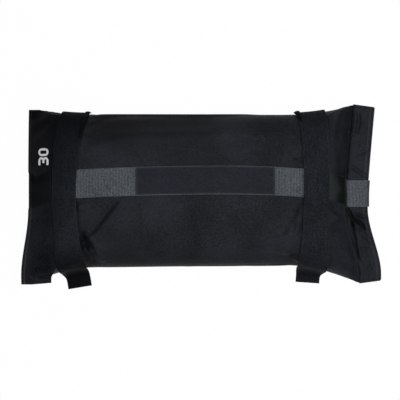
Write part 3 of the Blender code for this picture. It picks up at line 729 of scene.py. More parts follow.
def closedTube(name, rows):
    # a tube of rows of points, pressed shut at both ends
    rows = [flatRow(rows[0])] + rows + [flatRow(rows[-1])]
    return layRows(name, [row + [row[0].copy()] for row in rows], weld=True)


def flatRow(row):
    half = len(row) // 2
    return [(point + row[-k % len(row)]) / 2 if k % half else point.copy() for k, point in enumerate(row)]


def fullTurns():
    return spread(0, 2 * math.pi, innerForm["around"])[:-1]


def makeLining():
    f = innerForm
    stations = spread(lipEndX + 0.0004, fullRightX + b["rightTaper"] * f["liningReach"], f["liningSteps"])
    piece = closedTube("liningBag", [[innerPoint(x, a, linerInset(x)) for a in fullTurns()] for x in stations])
    finishPiece(piece, "lining", b["liner"])
    fitPiece(piece, "bag", "lining", "liner_bag")


def sandPoint(x, a):
    f = innerForm
    point = innerPoint(x, a, linerInset(x) + b["liner"] + b["gap"])
    lump = sum(noise.noise(point * scale) * size for scale, size in f["lumps"])
    return point + bagNormal(x, a) * (lump - f["sandSlack"])


def makeSand():
    stations = bothWays(innerForm["sandReach"], innerForm["sandSteps"])
    piece = closedTube("sandFill", [[sandPoint(x, a) for a in fullTurns()] for x in stations])
    finishPiece(piece, "sand")
    fitPiece(piece, "bag", "dry_sand", "sand_fill")


def makeBinding(name, node, middle):
    turn = innerForm["bindingTurn"]
    turns = spread(middle - turn, middle + turn, 12)
    stations = bothWays(innerForm["bindingReach"], innerForm["bindingSteps"])
    rows = [[innerPoint(x, a, b["panel"] + b["gap"]) for a in turns] for x in stations]
    makeSheet(name, rows, "webbing", b["binding"], 0.0002, (0.0312, 0.4290), "stretched", ["frontPanel", "backPanel"],
              "bag", "fastening_tape", node, flip=True, wear=cornerWear(0.08))


def lipPoint(x, angle, level):
    lower = level < 0
    centre, halfWidth = sectionAt(x)[:2]
    turn = -angle if lower else angle
    rise = riseOf(angle, b["endPower"]) * abs(level)
    y = centre + (halfWidth + abs(level) - lipHalf) * sideShare(turn)
    return warpPoint(x, y, b["flangeHeight"] - rise if lower else b["flangeHeight"] + rise)


def makeLipTape(name, node, pointAt, low, high, pile, body, restsOn, reach=1.0):
    turns = spread(innerForm["tapeTurn"], math.pi - innerForm["tapeTurn"], 70)
    first = lipEndX + innerForm["tapeInset"]
    rows = [[pointAt(x, a, high) for a in turns] for x in spread(first, mix(first, leftCreaseX, reach), 6)]
    makeSheet(name, rows, pile, b["tape"], 0.0002, (0.0143, 0.2560), "laid", restsOn, body, "fastening_tape", node,
              flip=high > low, wear=cornerWear(0.1))


print("making the inner layers")
makeLining()
makeSand()
makeBinding("upperSeamBinding", "upper_seam_binding", 0.0)
makeBinding("lowerSeamBinding", "lower_seam_binding", math.pi)
gap, tape = b["gap"], b["tape"]
makeLipTape("mouthHookTape", "mouth_hook_tape", lipPoint, -gap / 2, -gap / 2 - tape, "hookPile", "bag", ["backPanel"])
makeLipTape("mouthLoopTape", "mouth_loop_tape", lipPoint, gap / 2, gap / 2 + tape, "loopPile", "bag", ["frontPanel"])
makeLipTape("flapLoopTape", "flap_loop_tape", lipPoint, lipHalf + gap, lipHalf + gap + tape, "loopPile", "bag",
            ["frontPanel"])


flapForm = {
    "thickness": 0.0012, "width": 0.274, "clearance": 0.0028, "seatGap": 0.0006, "cornerLevel": 0.0005,
    "strapGap": 0.0004, "narrowUpper": 0.0075, "narrowLower": 0.004,
    "foldRadius": 0.0015, "foldTurn": math.radians(52), "edgeAngle": math.radians(12),
    "acrossSteps": 160, "alongSteps": 40,
    "plump": 0.0022, "sag": 0.0046, "taut": 0.95, "bend": 0.011, "give": 0.0018, "giveLength": 0.016,
    "endY": 0.139, "endLength": 0.02, "leastGap": 0.0005,
    # painted shade: how dark the hollow and the upper half are made, and where the upper darkening starts
    "hollowDim": 0.78, "upperDim": 0.82, "dimStart": 0.01, "dimLength": 0.05,
    # the free edge on the plan as (y, x), where the strap doesn't end it sooner
    "freeCorner": pairs(-137, -232.6, -123.7, -230.8, -114.3, -226.1, -108, -221.4, -103, -215,
                        120, -215, 126, -218.5, 131.4, -221.4, 140, -223.5),
    "folds": foldRows(
        (0.8, 2.4, 0, 1, -264, -16.5, -249.6, -10.8, -230.9, -5.1),
        (1.6, 2.6, 1.6, 1.4, -261.8, -113.8, -257.6, -124.7),
        (1.8, 2.8, 1.8, 1.2, -248.6, -111.6, -235.1, -107.1),
        (1.4, 3, 1.4, 1, -270, -104.4, -256, -100),
        (1.4, 2.6, 1.2, 1.2, -266, -118, -248, -123, -233, -120),
        (1, 6, 1.2, 0.8, -256, -80, -234, -98),
        (0.6, 7, 1, 0.6, -260, -50, -236, -36),
        (1, 6, 1, 1, -262, 96, -236, 116),
        (0.6, 4, 0.6, 1, -260, 124, -240, 123),
    ),
    # painted shade along the folds and the hollow's edges
    "shadeLines": shadeRows(
        (0.45, 2.6, -269, 36.5, -259, 30),
        (0.35, 3.4, -257, 28.5, -244, 33.5),
        (0.45, 2.2, -243, 33.5, -230, 39),
        (0.55, 2.2, -263, -16.5, -254, -12.5),
        (0.5, 2.8, -251, -11, -230, -5),
        (0.35, 16, -270, 120, -236, 120),
        (0.5, 3, -252, -108, -260, -118),
        (0.5, 3, -244, -115, -233, -109),
    ),
}


def flapHalfSpan():
    return flapForm["width"] / 2 / sideShare(flapForm["edgeAngle"])


def coverPoint(x, angle):
    seam, top, crownPower = sectionAt(x)[2], sectionAt(x)[3], sectionAt(x)[5]
    side = sideShare(angle)
    narrowing = flapForm["narrowUpper"] if side > 0 else flapForm["narrowLower"]
    fromCrease = clamp((x - leftCreaseX) / (strapForm["left"]["place"] - leftCreaseX - strapForm["width"] / 2))
    y = b["leftEndY"] + (flapHalfSpan() - narrowing * fromCrease) * side
    return warpPoint(x, y, seam + top * riseOf(angle, crownPower))


def foldPoint(x, angle, level):
    y = b["leftEndY"] + flapHalfSpan() * sideShare(angle)
    return warpPoint(x, y, b["flangeHeight"] + level * riseOf(angle, b["endPower"]))


def strapEdgeAt(y):
    # the left strap's upper left edge beside a place on the flap
    x = strapForm["left"]["place"] - strapForm["width"] / 2
    centre, halfWidth = sectionAt(x)[:2]
    reach = 0.985 * halfWidth
    angle = angleAt(x, max(centre - reach, min(centre + reach, y)))
    edge = strapX("left", angle) - strapForm["width"] / 2
    return bagPoint(edge, angle, strapClearance(edge, angle) + strapForm["thickness"])


freeEdge = {"x": [], "z": []}


def fitFreeEdge():
    # the flap reaches the strap, and ends level with its top
    f = flapForm
    for angle in spread(f["edgeAngle"] - 0.01, math.pi - f["edgeAngle"] + 0.01, 70):
        x = strapForm["left"]["place"] - strapForm["width"] / 2
        for _ in range(6):
            point = coverPoint(x, angle)
            edge = strapEdgeAt(point.y)
            x += min(edge.x - f["strapGap"], heightAlong(f["freeCorner"], point.y)) - point.x
        centre, halfWidth = sectionAt(x)[:2]
        beside = ease((abs(point.y - centre) / halfWidth - 0.84) / 0.14)
        freeEdge["x"].append((angle, x))
        freeEdge["z"].append((angle, mix(edge.z - 0.0003, point.z + f["clearance"] + f["thickness"], beside)))


def flapFreeX(angle):
    return heightAlong(freeEdge["x"], angle)


def flapStartX():
    return foldX + (flapForm["foldRadius"] + flapForm["thickness"]) * (1 - math.cos(flapForm["foldTurn"]))


def flapTop(x, angle, lift=0.0):
    # the flap's outer face: it spans from the fold to the strap, and sinks over the hollow
    f = flapForm
    out = normalAt(coverPoint, x, angle)
    point = coverPoint(x, angle)
    point.z += f["clearance"] + f["thickness"]
    lip = foldPoint(x, angle, lipHalf + f["clearance"] + f["thickness"])
    lip.z -= (f["foldRadius"] + f["thickness"]) * (1 - math.sin(f["foldTurn"]))
    start, free = flapStartX(), flapFreeX(angle)
    share = clamp((x - start) / (free - start))
    point = lip.lerp(point, ease((x - start) / (leftCreaseX - start)))
    ends = ease((f["endY"] - abs(point.y)) / f["endLength"])
    sunk = hollowAt(point.x, point.y)
    arch = 4 * share * (1 - share)
    spanned = mix(lip.z, heightAlong(freeEdge["z"], angle), share)
    spanned += f["plump"] * (1 - sunk) * arch ** 0.7 * ends - f["sag"] * sunk * arch
    point.z += max(0.0, spanned - point.z) * mix(1.0, f["taut"] * ends, ease(arch * 2))
    point.z += foldsAt(f["folds"], point.x, point.y) * ease(arch * 2.5)
    # never into the bag below it
    floorZ = bagTopUnder(x, point.y)
    if floorZ is not None:
        point.z = max(point.z, floorZ + (f["leastGap"] + f["thickness"]) / max(0.35, out.z))
    return point + out * lift


def underFlap(x, angle, level):
    point = flapTop(x, angle)
    point.z += level
    return point


def bagTopUnder(x, y):
    # height of the bag's cloth at an unwarped x, or None beside the bag
    centre, halfWidth = sectionAt(x)[:2]
    if abs(y - centre) > halfWidth * 0.985:
        return None
    return onBag(x, y).z


def makeFlap():
    f = flapForm
    turns = evenTurns(f["edgeAngle"], math.pi - f["edgeAngle"], f["acrossSteps"])
    topLevel = lipHalf + f["clearance"] + f["thickness"]
    seat = f["seatGap"] - (lipHalf - b["panel"])
    wide = f["foldRadius"] + f["thickness"]
    fitFreeEdge()

    def seatPoint(k, a):
        corner = 1 - ease(min(k, len(turns) - 1 - k) / 5)
        return foldPoint(foldX, a, mix(seat, f["cornerLevel"], corner))

    rows = [[seatPoint(k, a).lerp(foldPoint(foldX, a, topLevel - wide), share) for k, a in enumerate(turns)]
            for share in (0.0, 0.35, 0.7)]
    for turn in spread(0, f["foldTurn"], 6)[:-1]:
        x, level = foldX + wide * (1 - math.cos(turn)), topLevel - wide * (1 - math.sin(turn))
        rows.append([foldPoint(x, a, level) for a in turns])
    for share in spread(0.0, 1.0, f["alongSteps"]):
        rows.append([flapTop(mix(flapStartX(), flapFreeX(a), share), a) for a in turns])
    dim = []
    for row in rows:
        for p in row:
            # the mouth's edge gives a little at the hollow
            p.x += f["give"] * hollowAt(-0.2652, p.y) * clamp((leftCreaseX - p.x) / f["giveLength"])
        # painted shade: darker in the hollow, over the upper half and along the folds
        dim.append([clamp(f["hollowDim"] * hollowAt(p.x, p.y) - foldsAt(f["shadeLines"], p.x, p.y)
                          + f["upperDim"] * ease((p.y - f["dimStart"]) / f["dimLength"])) for p in row])
    makeSheet("closureFlap", rows, "flapCloth", f["thickness"], 0.0003, (0.0650, 0.2950), "folded", ["frontPanel"],
              "flapFold", "black_cloth", "closure_flap", flip=True, wear=flapWear, dim=dim)


def flapWear(u, v):
    # rubbed along the edges, and along the fold on its lower half
    fold = math.exp(-((u - 0.265) / 0.022) ** 2) * ease((v - 0.5) / 0.1)
    return max(0.5 * clamp(1 - min(v, 1 - v) / 0.02), 0.7 * fold)


hemForm = {
    "aroundSteps": 320, "alongSteps": 30, "capSteps": 6, "puff": 0.0026, "roundness": 0.008,
    "creaseDim": 0.95,
    "folds": foldRows(
        (3, 2.6, 2, 2.4, 228.5, -17.8, 237.6, -33.4, 250.9, -42.3, 255.4, -50.1),
        (2.6, 2.6, 1.6, 0, 231.8, -26, 239.8, -62.3, 245, -93.6),
        (2, 3.6, 1, 1, 250.9, -55.7, 268.8, -71.4),
        (2.2, 3, 1.2, 1.4, 240, -26, 264, -33),
        (2, 3, 0.6, 1.4, 247, 130, 247.8, 118.6, 244.1, 103),
        (2.2, 3.6, 1.6, 1.2, 235.2, 47.1, 247, 40, 259.8, 31.5),
        (1.4, 4.6, 0.8, 1, 244.1, 67.2, 264.3, 78.4),
        (1.8, 4.4, 0.8, 1, 248, -102, 265, -112),
        (1.4, 4, 0.8, 0.6, 254, -80, 262, -102),
    ),
    # painted shade along the fold troughs
    "shadeLines": shadeRows(
        (0.75, 2.6, 228.5, -17.8, 237.6, -33.4, 250.9, -42.3, 255.4, -50.1),
        (0.7, 2.2, 231.8, -26, 239.8, -62.3, 245, -93.6),
        (0.45, 4, 240, -29, 260, -34),
        (0.6, 5, 237, -40, 243, -48),
        (0.3, 3.6, 235.2, 47.1, 247, 40, 259.8, 31.5),
        (0.3, 3.6, 255, -64, 266, -72),
    ),
}


def hemRelief(x, point):
    # the folded cloth puffs up between its crease and its outer edge
    h = hemForm
    inside = min(x - rightCreaseX - b["hemStart"] + 0.002, hemEndX - x)
    ends = ease((0.15 - abs(point.y - b["rightEndY"])) / 0.016)
    puff = h["puff"] * dome(inside / h["roundness"]) * ends
    return max(0.0, puff + foldsAt(h["folds"], point.x, point.y) * clamp(inside / 0.003) * ends)


def hemTopLevel():
    return b["hemClearance"] + b["hemThickness"]


def hemPoint(x, angle, lift=0.0, edge=1.0):
    grow = hemTopLevel() + lift
    point = shellPoint(x, angle, grow)
    if math.sin(angle) > 0:
        point.z += hemRelief(x, point) * ease(abs(math.sin(angle)) * 3) * edge
    return point


def makeHem():
    h = hemForm
    half = hemHalf + hemTopLevel()
    turns = evenTurns(0.0, math.pi, h["aroundSteps"] // 2)[:-1]
    turns += [a + math.pi for a in turns]
    stations = spread(rightCreaseX + b["hemStart"], hemEndX - half, h["alongSteps"])
    rows = [[hemPoint(x, a) for a in turns] for x in stations]
    for turn in spread(0, math.pi / 2, h["capSteps"])[1:]:
        x, shrink = hemEndX - half * (1 - math.sin(turn)), half * (1 - math.cos(turn))
        rows.append([hemPoint(x, a, -min(shrink, half * 0.999), math.cos(turn)) for a in turns])
    rows = [row + [row[0].copy()] for row in rows]
    # painted shade: darker beside the crease on the upper half, and in the folds
    dim = [[clamp(h["creaseDim"] * math.exp(-i * i / 4) * ease(p.y / 0.03) - foldsAt(h["shadeLines"], p.x, p.y))
            for p in row] for i, row in enumerate(rows)]
    makeSheet("endHem", rows, "hemCloth", b["hemThickness"], 0.0, (0.074, 0.288), "folded",
              ["frontPanel", "backPanel"], "bag", "black_cloth", "end_hem", wear=hemWear, weld=True, dim=dim)


def hemWear(u, v):
    # rubbed at the outer edge and along the seam beside it
    return max(0.6 * clamp(1 - (1 - u) / 0.08), 0.4 * math.exp(-((u - 0.72) / 0.025) ** 2))


print("making the hem")
makeHem()


bandForm = {
    "width": 0.0435, "thickness": 0.0008, "clearance": 0.00035, "endRise": 0.0007, "hemClearance": 0.0007,
    "edgeClearance": 0.0011, "offsetY": 0.0155, "bowX": 0.02, "bowLeft": 0.385, "bowRight": 0.245, "return": 0.028,
    "start": 0.67, "columns": 18, "stations": 190, "hemWidth": 0.0412, "slopeWidth": 0.04,
    # painted shade: how dark, and where each change starts and how long it takes
    "dim": 0.72, "shadeStart": (0.176, 0.01), "shadeEnd": (0.2262, 0.003), "cornerShade": (0.206, 0.018),
    "cornerY": 0.012, "hemDim": 0.14, "creaseDim": 0.35, "creaseShade": (0.2275, 0.004),
    "outerDim": 0.45, "outerShade": (0.259, 0.003),
    "labelLength": 0.212, "labelWidth": 0.0418, "labelThickness": 0.0007, "labelX": 0.0064,
    "labelSteps": 110,
}


def bandCentreY(x):
    length = bandForm["bowLeft"] if x < bandForm["bowX"] else bandForm["bowRight"]
    bow = 1 - ((x - bandForm["bowX"]) / length) ** 2
    return sectionAt(x)[0] + bandForm["offsetY"] * max(0.0, bow)


def onBag(x, y, lift=0.0):
    return bagPoint(x, angleAt(x, y), lift)


def ribbonRow(x, width, lift, columns):
    middle = bandCentreY(x)
    return [onBag(x, y, lift) for y in spread(middle + width / 2, middle - width / 2, columns)]


def bandWidthAt(x):
    f = bandForm
    width = mix(f["width"], f["slopeWidth"], ease((x - 0.15) / 0.045))
    return mix(width, f["hemWidth"], ease((x - 0.212) / 0.012))


def bandLift(x):
    return bandForm["clearance"] + bandForm["endRise"] * endShare(x) ** 2 + bandForm["thickness"]


def bandShade(point):
    # painted shade: the stretch between the right strap and the hem, which slopes away from the lamp, is darkened,
    # most of all in the crease; on the hem the band is a little darker, more at both ends
    f = bandForm

    def past(place, ahead=0.0):
        return ease((point.x - place[0] + ahead) / place[1])

    slope = past(f["shadeStart"]) * (1 - past(f["shadeEnd"]))
    stain = slope * mix(f["dim"], 1.0, past(f["cornerShade"], 0.5 * abs(point.y - f["cornerY"])))
    if point.x > f["shadeEnd"][0]:
        edges = f["creaseDim"] * (1 - past(f["creaseShade"])) + f["outerDim"] * past(f["outerShade"])
        stain = max(stain, f["hemDim"] + edges)
    return stain


def makeBand():
    f = bandForm
    stations = spread(fullLeftX - b["leftTaper"] * f["start"], rightCreaseX - 0.002, f["stations"])
    rows = [ribbonRow(x, bandWidthAt(x), bandLift(x), f["columns"]) for x in stations]
    level = hemHalf + hemTopLevel() + f["hemClearance"] + f["thickness"]
    middle = bandCentreY(hemEndX)
    overHem = [(x, 90) for x in spread(rightCreaseX + b["hemStart"], hemEndX, 16)]
    wrap = [(hemEndX, turn) for turn in range(80, -91, -10)]
    back = [(x, -90) for x in spread(hemEndX, hemEndX - f["return"], 10)[1:]]
    for x, turn in overHem + wrap + back:
        out = max(0.0, math.cos(math.radians(turn))) ** (2 / 3)
        up = math.copysign(abs(math.sin(math.radians(turn))) ** (2 / 3), turn)
        row = []
        for y in spread(middle + f["hemWidth"] / 2, middle - f["hemWidth"] / 2, f["columns"]):
            point = warpPoint(x + (f["edgeClearance"] + f["thickness"]) * out, y, b["flangeHeight"] + level * up)
            if turn > 0:
                point.z += hemRelief(x, point)
            row.append(point)
        rows.append(row)
    dim = [[bandShade(point) for point in row] for row in rows]
    makeSheet("centreBand", rows, "bandMesh", f["thickness"], 0.0002, (0.043, 0.556), "laid",
              ["frontPanel", "endHem"], "bag", "grey_band_weave", "centre_band", flip=True, wear=bandWear, dim=dim)


def bandWear(u, v):
    return clamp(1 - min(v, 1 - v) / 0.06)


def makeLabel():
    f = bandForm
    low = f["clearance"] + f["thickness"] + gap
    stations = spread(f["labelX"] - f["labelLength"] / 2, f["labelX"] + f["labelLength"] / 2, f["labelSteps"])
    rows = [ribbonRow(x, f["labelWidth"], low + f["labelThickness"], f["columns"]) for x in stations]
    makeSheet("labelPatch", rows, "labelWeave", f["labelThickness"], 0.0002, (0.0425, 0.2125), "laid", ["centreBand"],
              "bag", "label_weave", "label_patch", flip=True, wear=cornerWear(0.02))


print("making the band and the patch")
makeBand()
makeLabel()


def strapClearance(x, angle):
    y = shellPoint(x, angle).y
    beside = abs(y - bandCentreY(x)) - bandForm["width"] / 2
    overBand = 1 - ease((beside - strapForm["thickness"]) / (bandForm["width"] / 2)) if math.sin(angle) > 0 else 0
    turn = abs(math.remainder(angle, 2 * math.pi))
    loop = 1 - ease(turn / strapForm["loopAngle"])
    return strapForm["clearance"] + strapForm["bandRise"] * overBand + strapForm["standoff"] * loop


def strapRow(side, angle, width, lift, columns):
    row = []
    for across in spread(-width / 2, width / 2, columns):
        x = strapX(side, angle) + across
        row.append(bagPoint(x, angle, strapClearance(x, angle) + lift))
    return row


def hingeRow(side, way, lift, columns):
    row = strapRow(side, 0.0, strapForm["width"], lift, columns)
    for point in row:
        point.z = b["seamHeight"] + strapForm["hingeRise"] + way * gap / 2
    return row


def tailPath(reach):
    low = gap + tape + gap
    path = [(0.0, b["seamHeight"])]
    path += [(strapForm["splay"] * out, mix(low, b["seamHeight"], height)) for out, height in strapForm["drop"]]
    path.append((reach, low))
    fine = [path[0]]
    for k in range(len(path) - 1):
        near = [path[min(len(path) - 1, max(0, k + d))] for d in (-1, 0, 1, 2)]
        fine += [tuple(cubic(*values, share) for values in zip(*near)) for share in spread(0, 1, 5)[1:]]
    return fine, 5 * (len(path) - 2)


def tailRows(side, width, lift, columns, inset=0.0):
    form = strapForm[side]
    path, floorPoint = tailPath(form["reach"] - inset)
    seamX = strapX(side, math.pi)
    rows = []
    for k in range(len(path)):
        before, after = path[max(k - 1, 0)], path[min(k + 1, len(path) - 1)]
        step = Vector((after[0] - before[0], after[1] - before[1])).normalized()
        out, height = path[k]
        settle = ease(k / floorPoint)
        swing = form["turn"] * settle
        middle = bagPoint(seamX, math.pi)
        row = []
        for across in spread(-width / 2, width / 2, columns):
            start = bagPoint(seamX + across, math.pi)
            x = mix(start.x - across, middle.x, settle) + across * math.cos(swing) + out * math.tan(form["turn"])
            y = mix(start.y, middle.y, settle) - strapForm["clearance"] - out + across * math.sin(swing)
            z = max(height, gap + tape + gap) + mix(start.z - b["seamHeight"], 0, settle)
            row.append(Vector((x, y + step.y * lift, z + step.x * lift)))
        rows.append(row)
    return rows


def strapWear(u, v):
    return max(clamp(1 - min(v, 1 - v) / 0.07), clamp(1 - (1 - u) / 0.02))


def makeStrap(side):
    s = strapForm
    columns, body, level = s["columns"], side + "_strap", s["thickness"]
    rows = [hingeRow(side, 1, level, columns)]
    rows += [strapRow(side, a, s["width"], level, columns) for a in evenTurns(*s["frontTurns"], s["frontSteps"])]
    rows += tailRows(side, s["width"], level, columns)
    # painted shade along the strap
    dim = [[heightAlong(s[side + "Dim"], row[columns // 2].y)] * (columns + 1) for row in rows]
    front = side + "StrapFront"
    makeSheet(front, rows, "webbing", level, 0.0004, (0.038, s[side + "Length"]), "draped",
              ["frontPanel", "centreBand"], body, "black_webbing", side + "_strap_front", wear=strapWear, dim=dim)
    rows = tailRows(side, s["tapeWidth"], -gap - tape, s["tapeColumns"], s["tapeInset"])[s["tapeFrom"]:]
    makeSheet(side + "StrapHookTape", rows, "hookPile", tape, 0.0002, (0.034, s[side + "Hooks"]), "laid", [front],
              body, "fastening_tape", side + "_strap_hook_tape", flip=True, wear=cornerWear(0.1))
    # the sewn run, from under the bag up its far side to the hinge
    rows = [strapRow(side, a, s["width"], level, columns) for a in evenTurns(*s["backTurns"], s["backSteps"])]
    rows.append(hingeRow(side, -1, level, columns))
    back = side + "StrapBack"
    makeSheet(back, rows, "webbing", level, 0.0004, (0.038, 0.265), "laid", ["backPanel"],
              "bag", "black_webbing", side + "_strap_back", wear=strapWear)
    turns = spread(*s["loopTurns"], s["loopSteps"])
    rows = [strapRow(side, a, s["tapeWidth"], level + gap + tape, s["tapeColumns"]) for a in turns]
    makeSheet(side + "StrapLoopTape", rows, "loopPile", tape, 0.0002, (0.034, 0.127), "laid", [back],
              "bag", "fastening_tape", side + "_strap_loop_tape", wear=cornerWear(0.06))


tuckForm = {
    "start": 0.1, "left": 0.86, "right": 0.5, "width": 0.0085, "overlap": 0.003, "rise": 0.003,
    "thickness": 0.0012, "gap": 0.0004, "tip": 0.001, "dim": 0.9, "steps": 26, "columns": 10,
    "leftLength": 0.05, "rightLength": 0.028, "leftArea": 0.0004, "rightArea": 0.00022,
}


def makeTuck(side):
    # the strap's inner edge, turned over in a small fold where it comes over the far side
    t = tuckForm
    way = 1 if side == "left" else -1
    rows = []
    for share in spread(0.0, 1.0, t["steps"]):
        angle = mix(t["start"], t[side], share)
        wide = t["width"] * (1 - share) ** 0.8 + t["tip"]
        edge = strapX(side, angle) + way * (strapForm["width"] / 2 - t["overlap"])
        onStrap = strapClearance(edge, angle) + strapForm["thickness"] + t["gap"]
        row = []
        for across in spread(0.0, 1.0, t["columns"]):
            arch = t["rise"] * math.sin(across * math.pi) * (1 - 0.7 * share)
            low = mix(onStrap, t["thickness"] + t["gap"], ease(across * 2))
            row.append(bagPoint(edge + way * wide * across, angle, low + t["thickness"] + arch))
        rows.append(row[::way])
    # the turned edge is painted dark, as the shade inside the fold
    makeSheet(side + "StrapTuck", rows, "webbing", t["thickness"], 0.0003, (0.011, t[side + "Length"]), "folded",
              [side + "StrapFront"], side + "_strap", "black_webbing", area=t[side + "Area"], wear=strapWear,
              dim=[[t["dim"]] * len(row) for row in rows])


print("making the flap")
makeFlap()
tapeDrop = (flapForm["thickness"] + gap) * 1.35
makeLipTape("flapHookTape", "flap_hook_tape", underFlap, -tapeDrop, -tapeDrop - tape * 1.35, "hookPile", "flapFold",
            ["closureFlap"], 0.7)

print("making the straps")
for maker in (makeStrap, makeTuck):
    for side in ("left", "right"):
        maker(side)


stitchForm = {
    "length": 0.003, "pitch": 0.0042, "thickness": 0.0006, "lift": 0.0001,
    "labelEndInset": 0.002, "labelInset": 0.0018, "labelAcross": 0.0185, "bandStart": 0.6, "bandInset": 0.0007,
    "bandGap": 0.004, "hemInset": 0.0052, "hemStart": 0.003, "hemAngle": math.radians(9),
    "flapAngle": 0.06, "foldInset": 0.0046, "flapEnd": 0.003,
}


def makeStitch():
    # one thread stitch, a little sunk at both ends
    bpy.ops.object.select_all(action="DESELECT")
    bpy.ops.mesh.primitive_cylinder_add(vertices=6, radius=0.5, depth=1.0, rotation=(0, math.pi / 2, 0))
    stitch = bpy.context.object
    bpy.ops.object.transform_apply(location=True, rotation=True, scale=True)
    startEditing()
    for x in (0.25, -0.25):
        cutAll((x, 0, 0), (1, 0, 0))
    bpy.ops.object.mode_set(mode="OBJECT")
    for vertex in stitch.data.vertices:
        p = vertex.co
        narrow = 1 - 0.55 * (2 * p.x) ** 4
        vertex.co = (p.x * stitchForm["length"], p.y * stitchForm["thickness"] * narrow,
                     (p.z * narrow - 0.8 * p.x * p.x) * stitchForm["thickness"])
    return stitch


def cutAll(place, direction):
    bpy.ops.mesh.select_all(action="SELECT")
    bpy.ops.mesh.bisect(plane_co=place, plane_no=direction)


def sewLines(name, body, *runs):
    # copies of the stitch along each run of points, upright
    s, out = stitchForm, Vector((0, 0, 1))
    master, joined = makeStitch(), bmesh.new()
    for run in runs:
        walked, nextAt = 0.0, s["pitch"] / 2
        for first, second in zip(run, run[1:]):
            step = (second - first).length
            while step > 0 and walked + step >= nextAt:
                ahead = (second - first).normalized()
                sideways = out.cross(ahead).normalized()
                up = ahead.cross(sideways)
                place = first.lerp(second, (nextAt - walked) / step) + up * s["lift"]
                copy = master.data.copy()
                copy.transform(Matrix.Translation(place) @ Matrix((ahead, sideways, up)).transposed().to_4x4())
                joined.from_mesh(copy)
                bpy.data.meshes.remove(copy)
                nextAt += s["pitch"]
            walked += step
    data = bpy.data.meshes.new(name)
    joined.to_mesh(data)
    joined.free()
    piece = bpy.data.objects.new(name, data)
    scene.collection.objects.link(piece)
    bpy.data.objects.remove(master, do_unlink=True)
    finishPiece(piece, "thread")
    fitPiece(piece, body, None)


def makeStitches():
    f, s = bandForm, stitchForm
    labelLift = f["clearance"] + f["thickness"] + gap + f["labelThickness"]
    half = f["labelLength"] / 2
    ends = (f["labelX"] - half + s["labelEndInset"], f["labelX"] + half - s["labelEndInset"])

    def onBand(x, aside, lift):
        return onBag(x, bandCentreY(x) + aside, lift)

    aside, across = f["labelWidth"] / 2 - s["labelInset"], s["labelAcross"]
    sewLines("labelStitches", "bag",
             *([onBand(x, side * aside, labelLift) for x in spread(*ends, 160)] for side in (1, -1)),
             *([onBand(x, y, labelLift) for y in spread(across, -across, 30)] for x in ends))
    aside = f["width"] / 2 - s["bandInset"]
    parts = ((fullLeftX - b["leftTaper"] * s["bandStart"], ends[0] - s["bandGap"]),
             (ends[1] + s["bandGap"], rightCreaseX - s["bandGap"]))
    sewLines("bandStitches", "bag", *([onBand(x, side * aside, bandLift(x)) for x in spread(*part, 90)]
                                      for side in (1, -1) for part in parts))
    low, high = s["hemAngle"], math.pi - s["hemAngle"]
    inner, outer = rightCreaseX + b["hemStart"] + s["hemStart"], hemEndX - s["hemInset"]
    sewLines("hemStitches", "bag", [hemPoint(outer, a) for a in spread(low, high, 300)],
             *([hemPoint(x, a) for x in spread(inner, outer, 30)] for a in (low, high)))
    low = flapForm["edgeAngle"] + s["flapAngle"]
    high, foldLine = math.pi - low, foldX + s["foldInset"]
    sewLines("flapStitches", "flapFold", [flapTop(foldLine, a) for a in spread(low, high, 260)],
             *([flapTop(x, a) for x in spread(foldLine, flapFreeX(a) - s["flapEnd"], 40)] for a in (low, high)))


print("sewing")
makeStitches()


numberForm = {
    "middle": (-0.2432, 0.0625), "digitWidth": 0.0124, "digitHeight": 0.0178, "between": 0.0014,
    "stroke": 0.0036, "roundness": 0.85, "thickness": 0.00025, "lift": 0.00015,
}


def makeDigit(holes, lobes):
    # a plate of the digit's size, cut along the strokes, its open places taken out and its outline rounded
    n = numberForm
    wide, high = n["digitWidth"], n["digitHeight"]
    bpy.ops.object.select_all(action="DESELECT")
    bpy.ops.mesh.primitive_plane_add(size=1, location=(wide / 2, high / 2, 0))
    digit = bpy.context.object
    digit.scale = (wide, high, 1)
    bpy.ops.object.transform_apply(location=True, rotation=True, scale=True)
    bpy.ops.object.mode_set(mode="EDIT")
    for xs, ys in [(spread(0, wide, 11), spread(0, high, 15))] + [(hole[::2], hole[1::2]) for hole in holes]:
        for x in xs:
            cutAll((x, 0, 0), (1, 0, 0))
        for y in ys:
            cutAll((0, y, 0), (0, 1, 0))
    bpy.ops.mesh.select_all(action="SELECT")
    bpy.ops.mesh.remove_doubles(threshold=0.00001)
    bpy.ops.mesh.select_all(action="DESELECT")
    shape = bmesh.from_edit_mesh(digit.data)
    for face in shape.faces:
        middle = face.calc_center_median()
        if any(x1 < middle.x < x2 and y1 < middle.y < y2 for x1, y1, x2, y2 in holes):
            face.select_set(True)
    bmesh.update_edit_mesh(digit.data)
    bpy.ops.mesh.delete(type="FACE")
    bpy.ops.mesh.select_all(action="SELECT")
    bpy.ops.mesh.quads_convert_to_tris()
    bpy.ops.object.mode_set(mode="OBJECT")
    for vertex in digit.data.vertices:
        side = 2 * vertex.co.x / wide - 1
        level = vertex.co.y / high * lobes % 1.0 * 2 - 1 if vertex.co.y < high * 0.9999 else 1.0
        rounded = side > 0 or lobes == 1
        if rounded:
            vertex.co.x = wide / 2 * (1 + side * math.sqrt(1 - n["roundness"] * level * level / 2))
        height = 2 * vertex.co.y / high - 1
        bend = side if rounded else 0.4 * side
        vertex.co.y = high / 2 * (1 + height * math.sqrt(1 - n["roundness"] * bend * bend / 2 * abs(height)))
    return digit


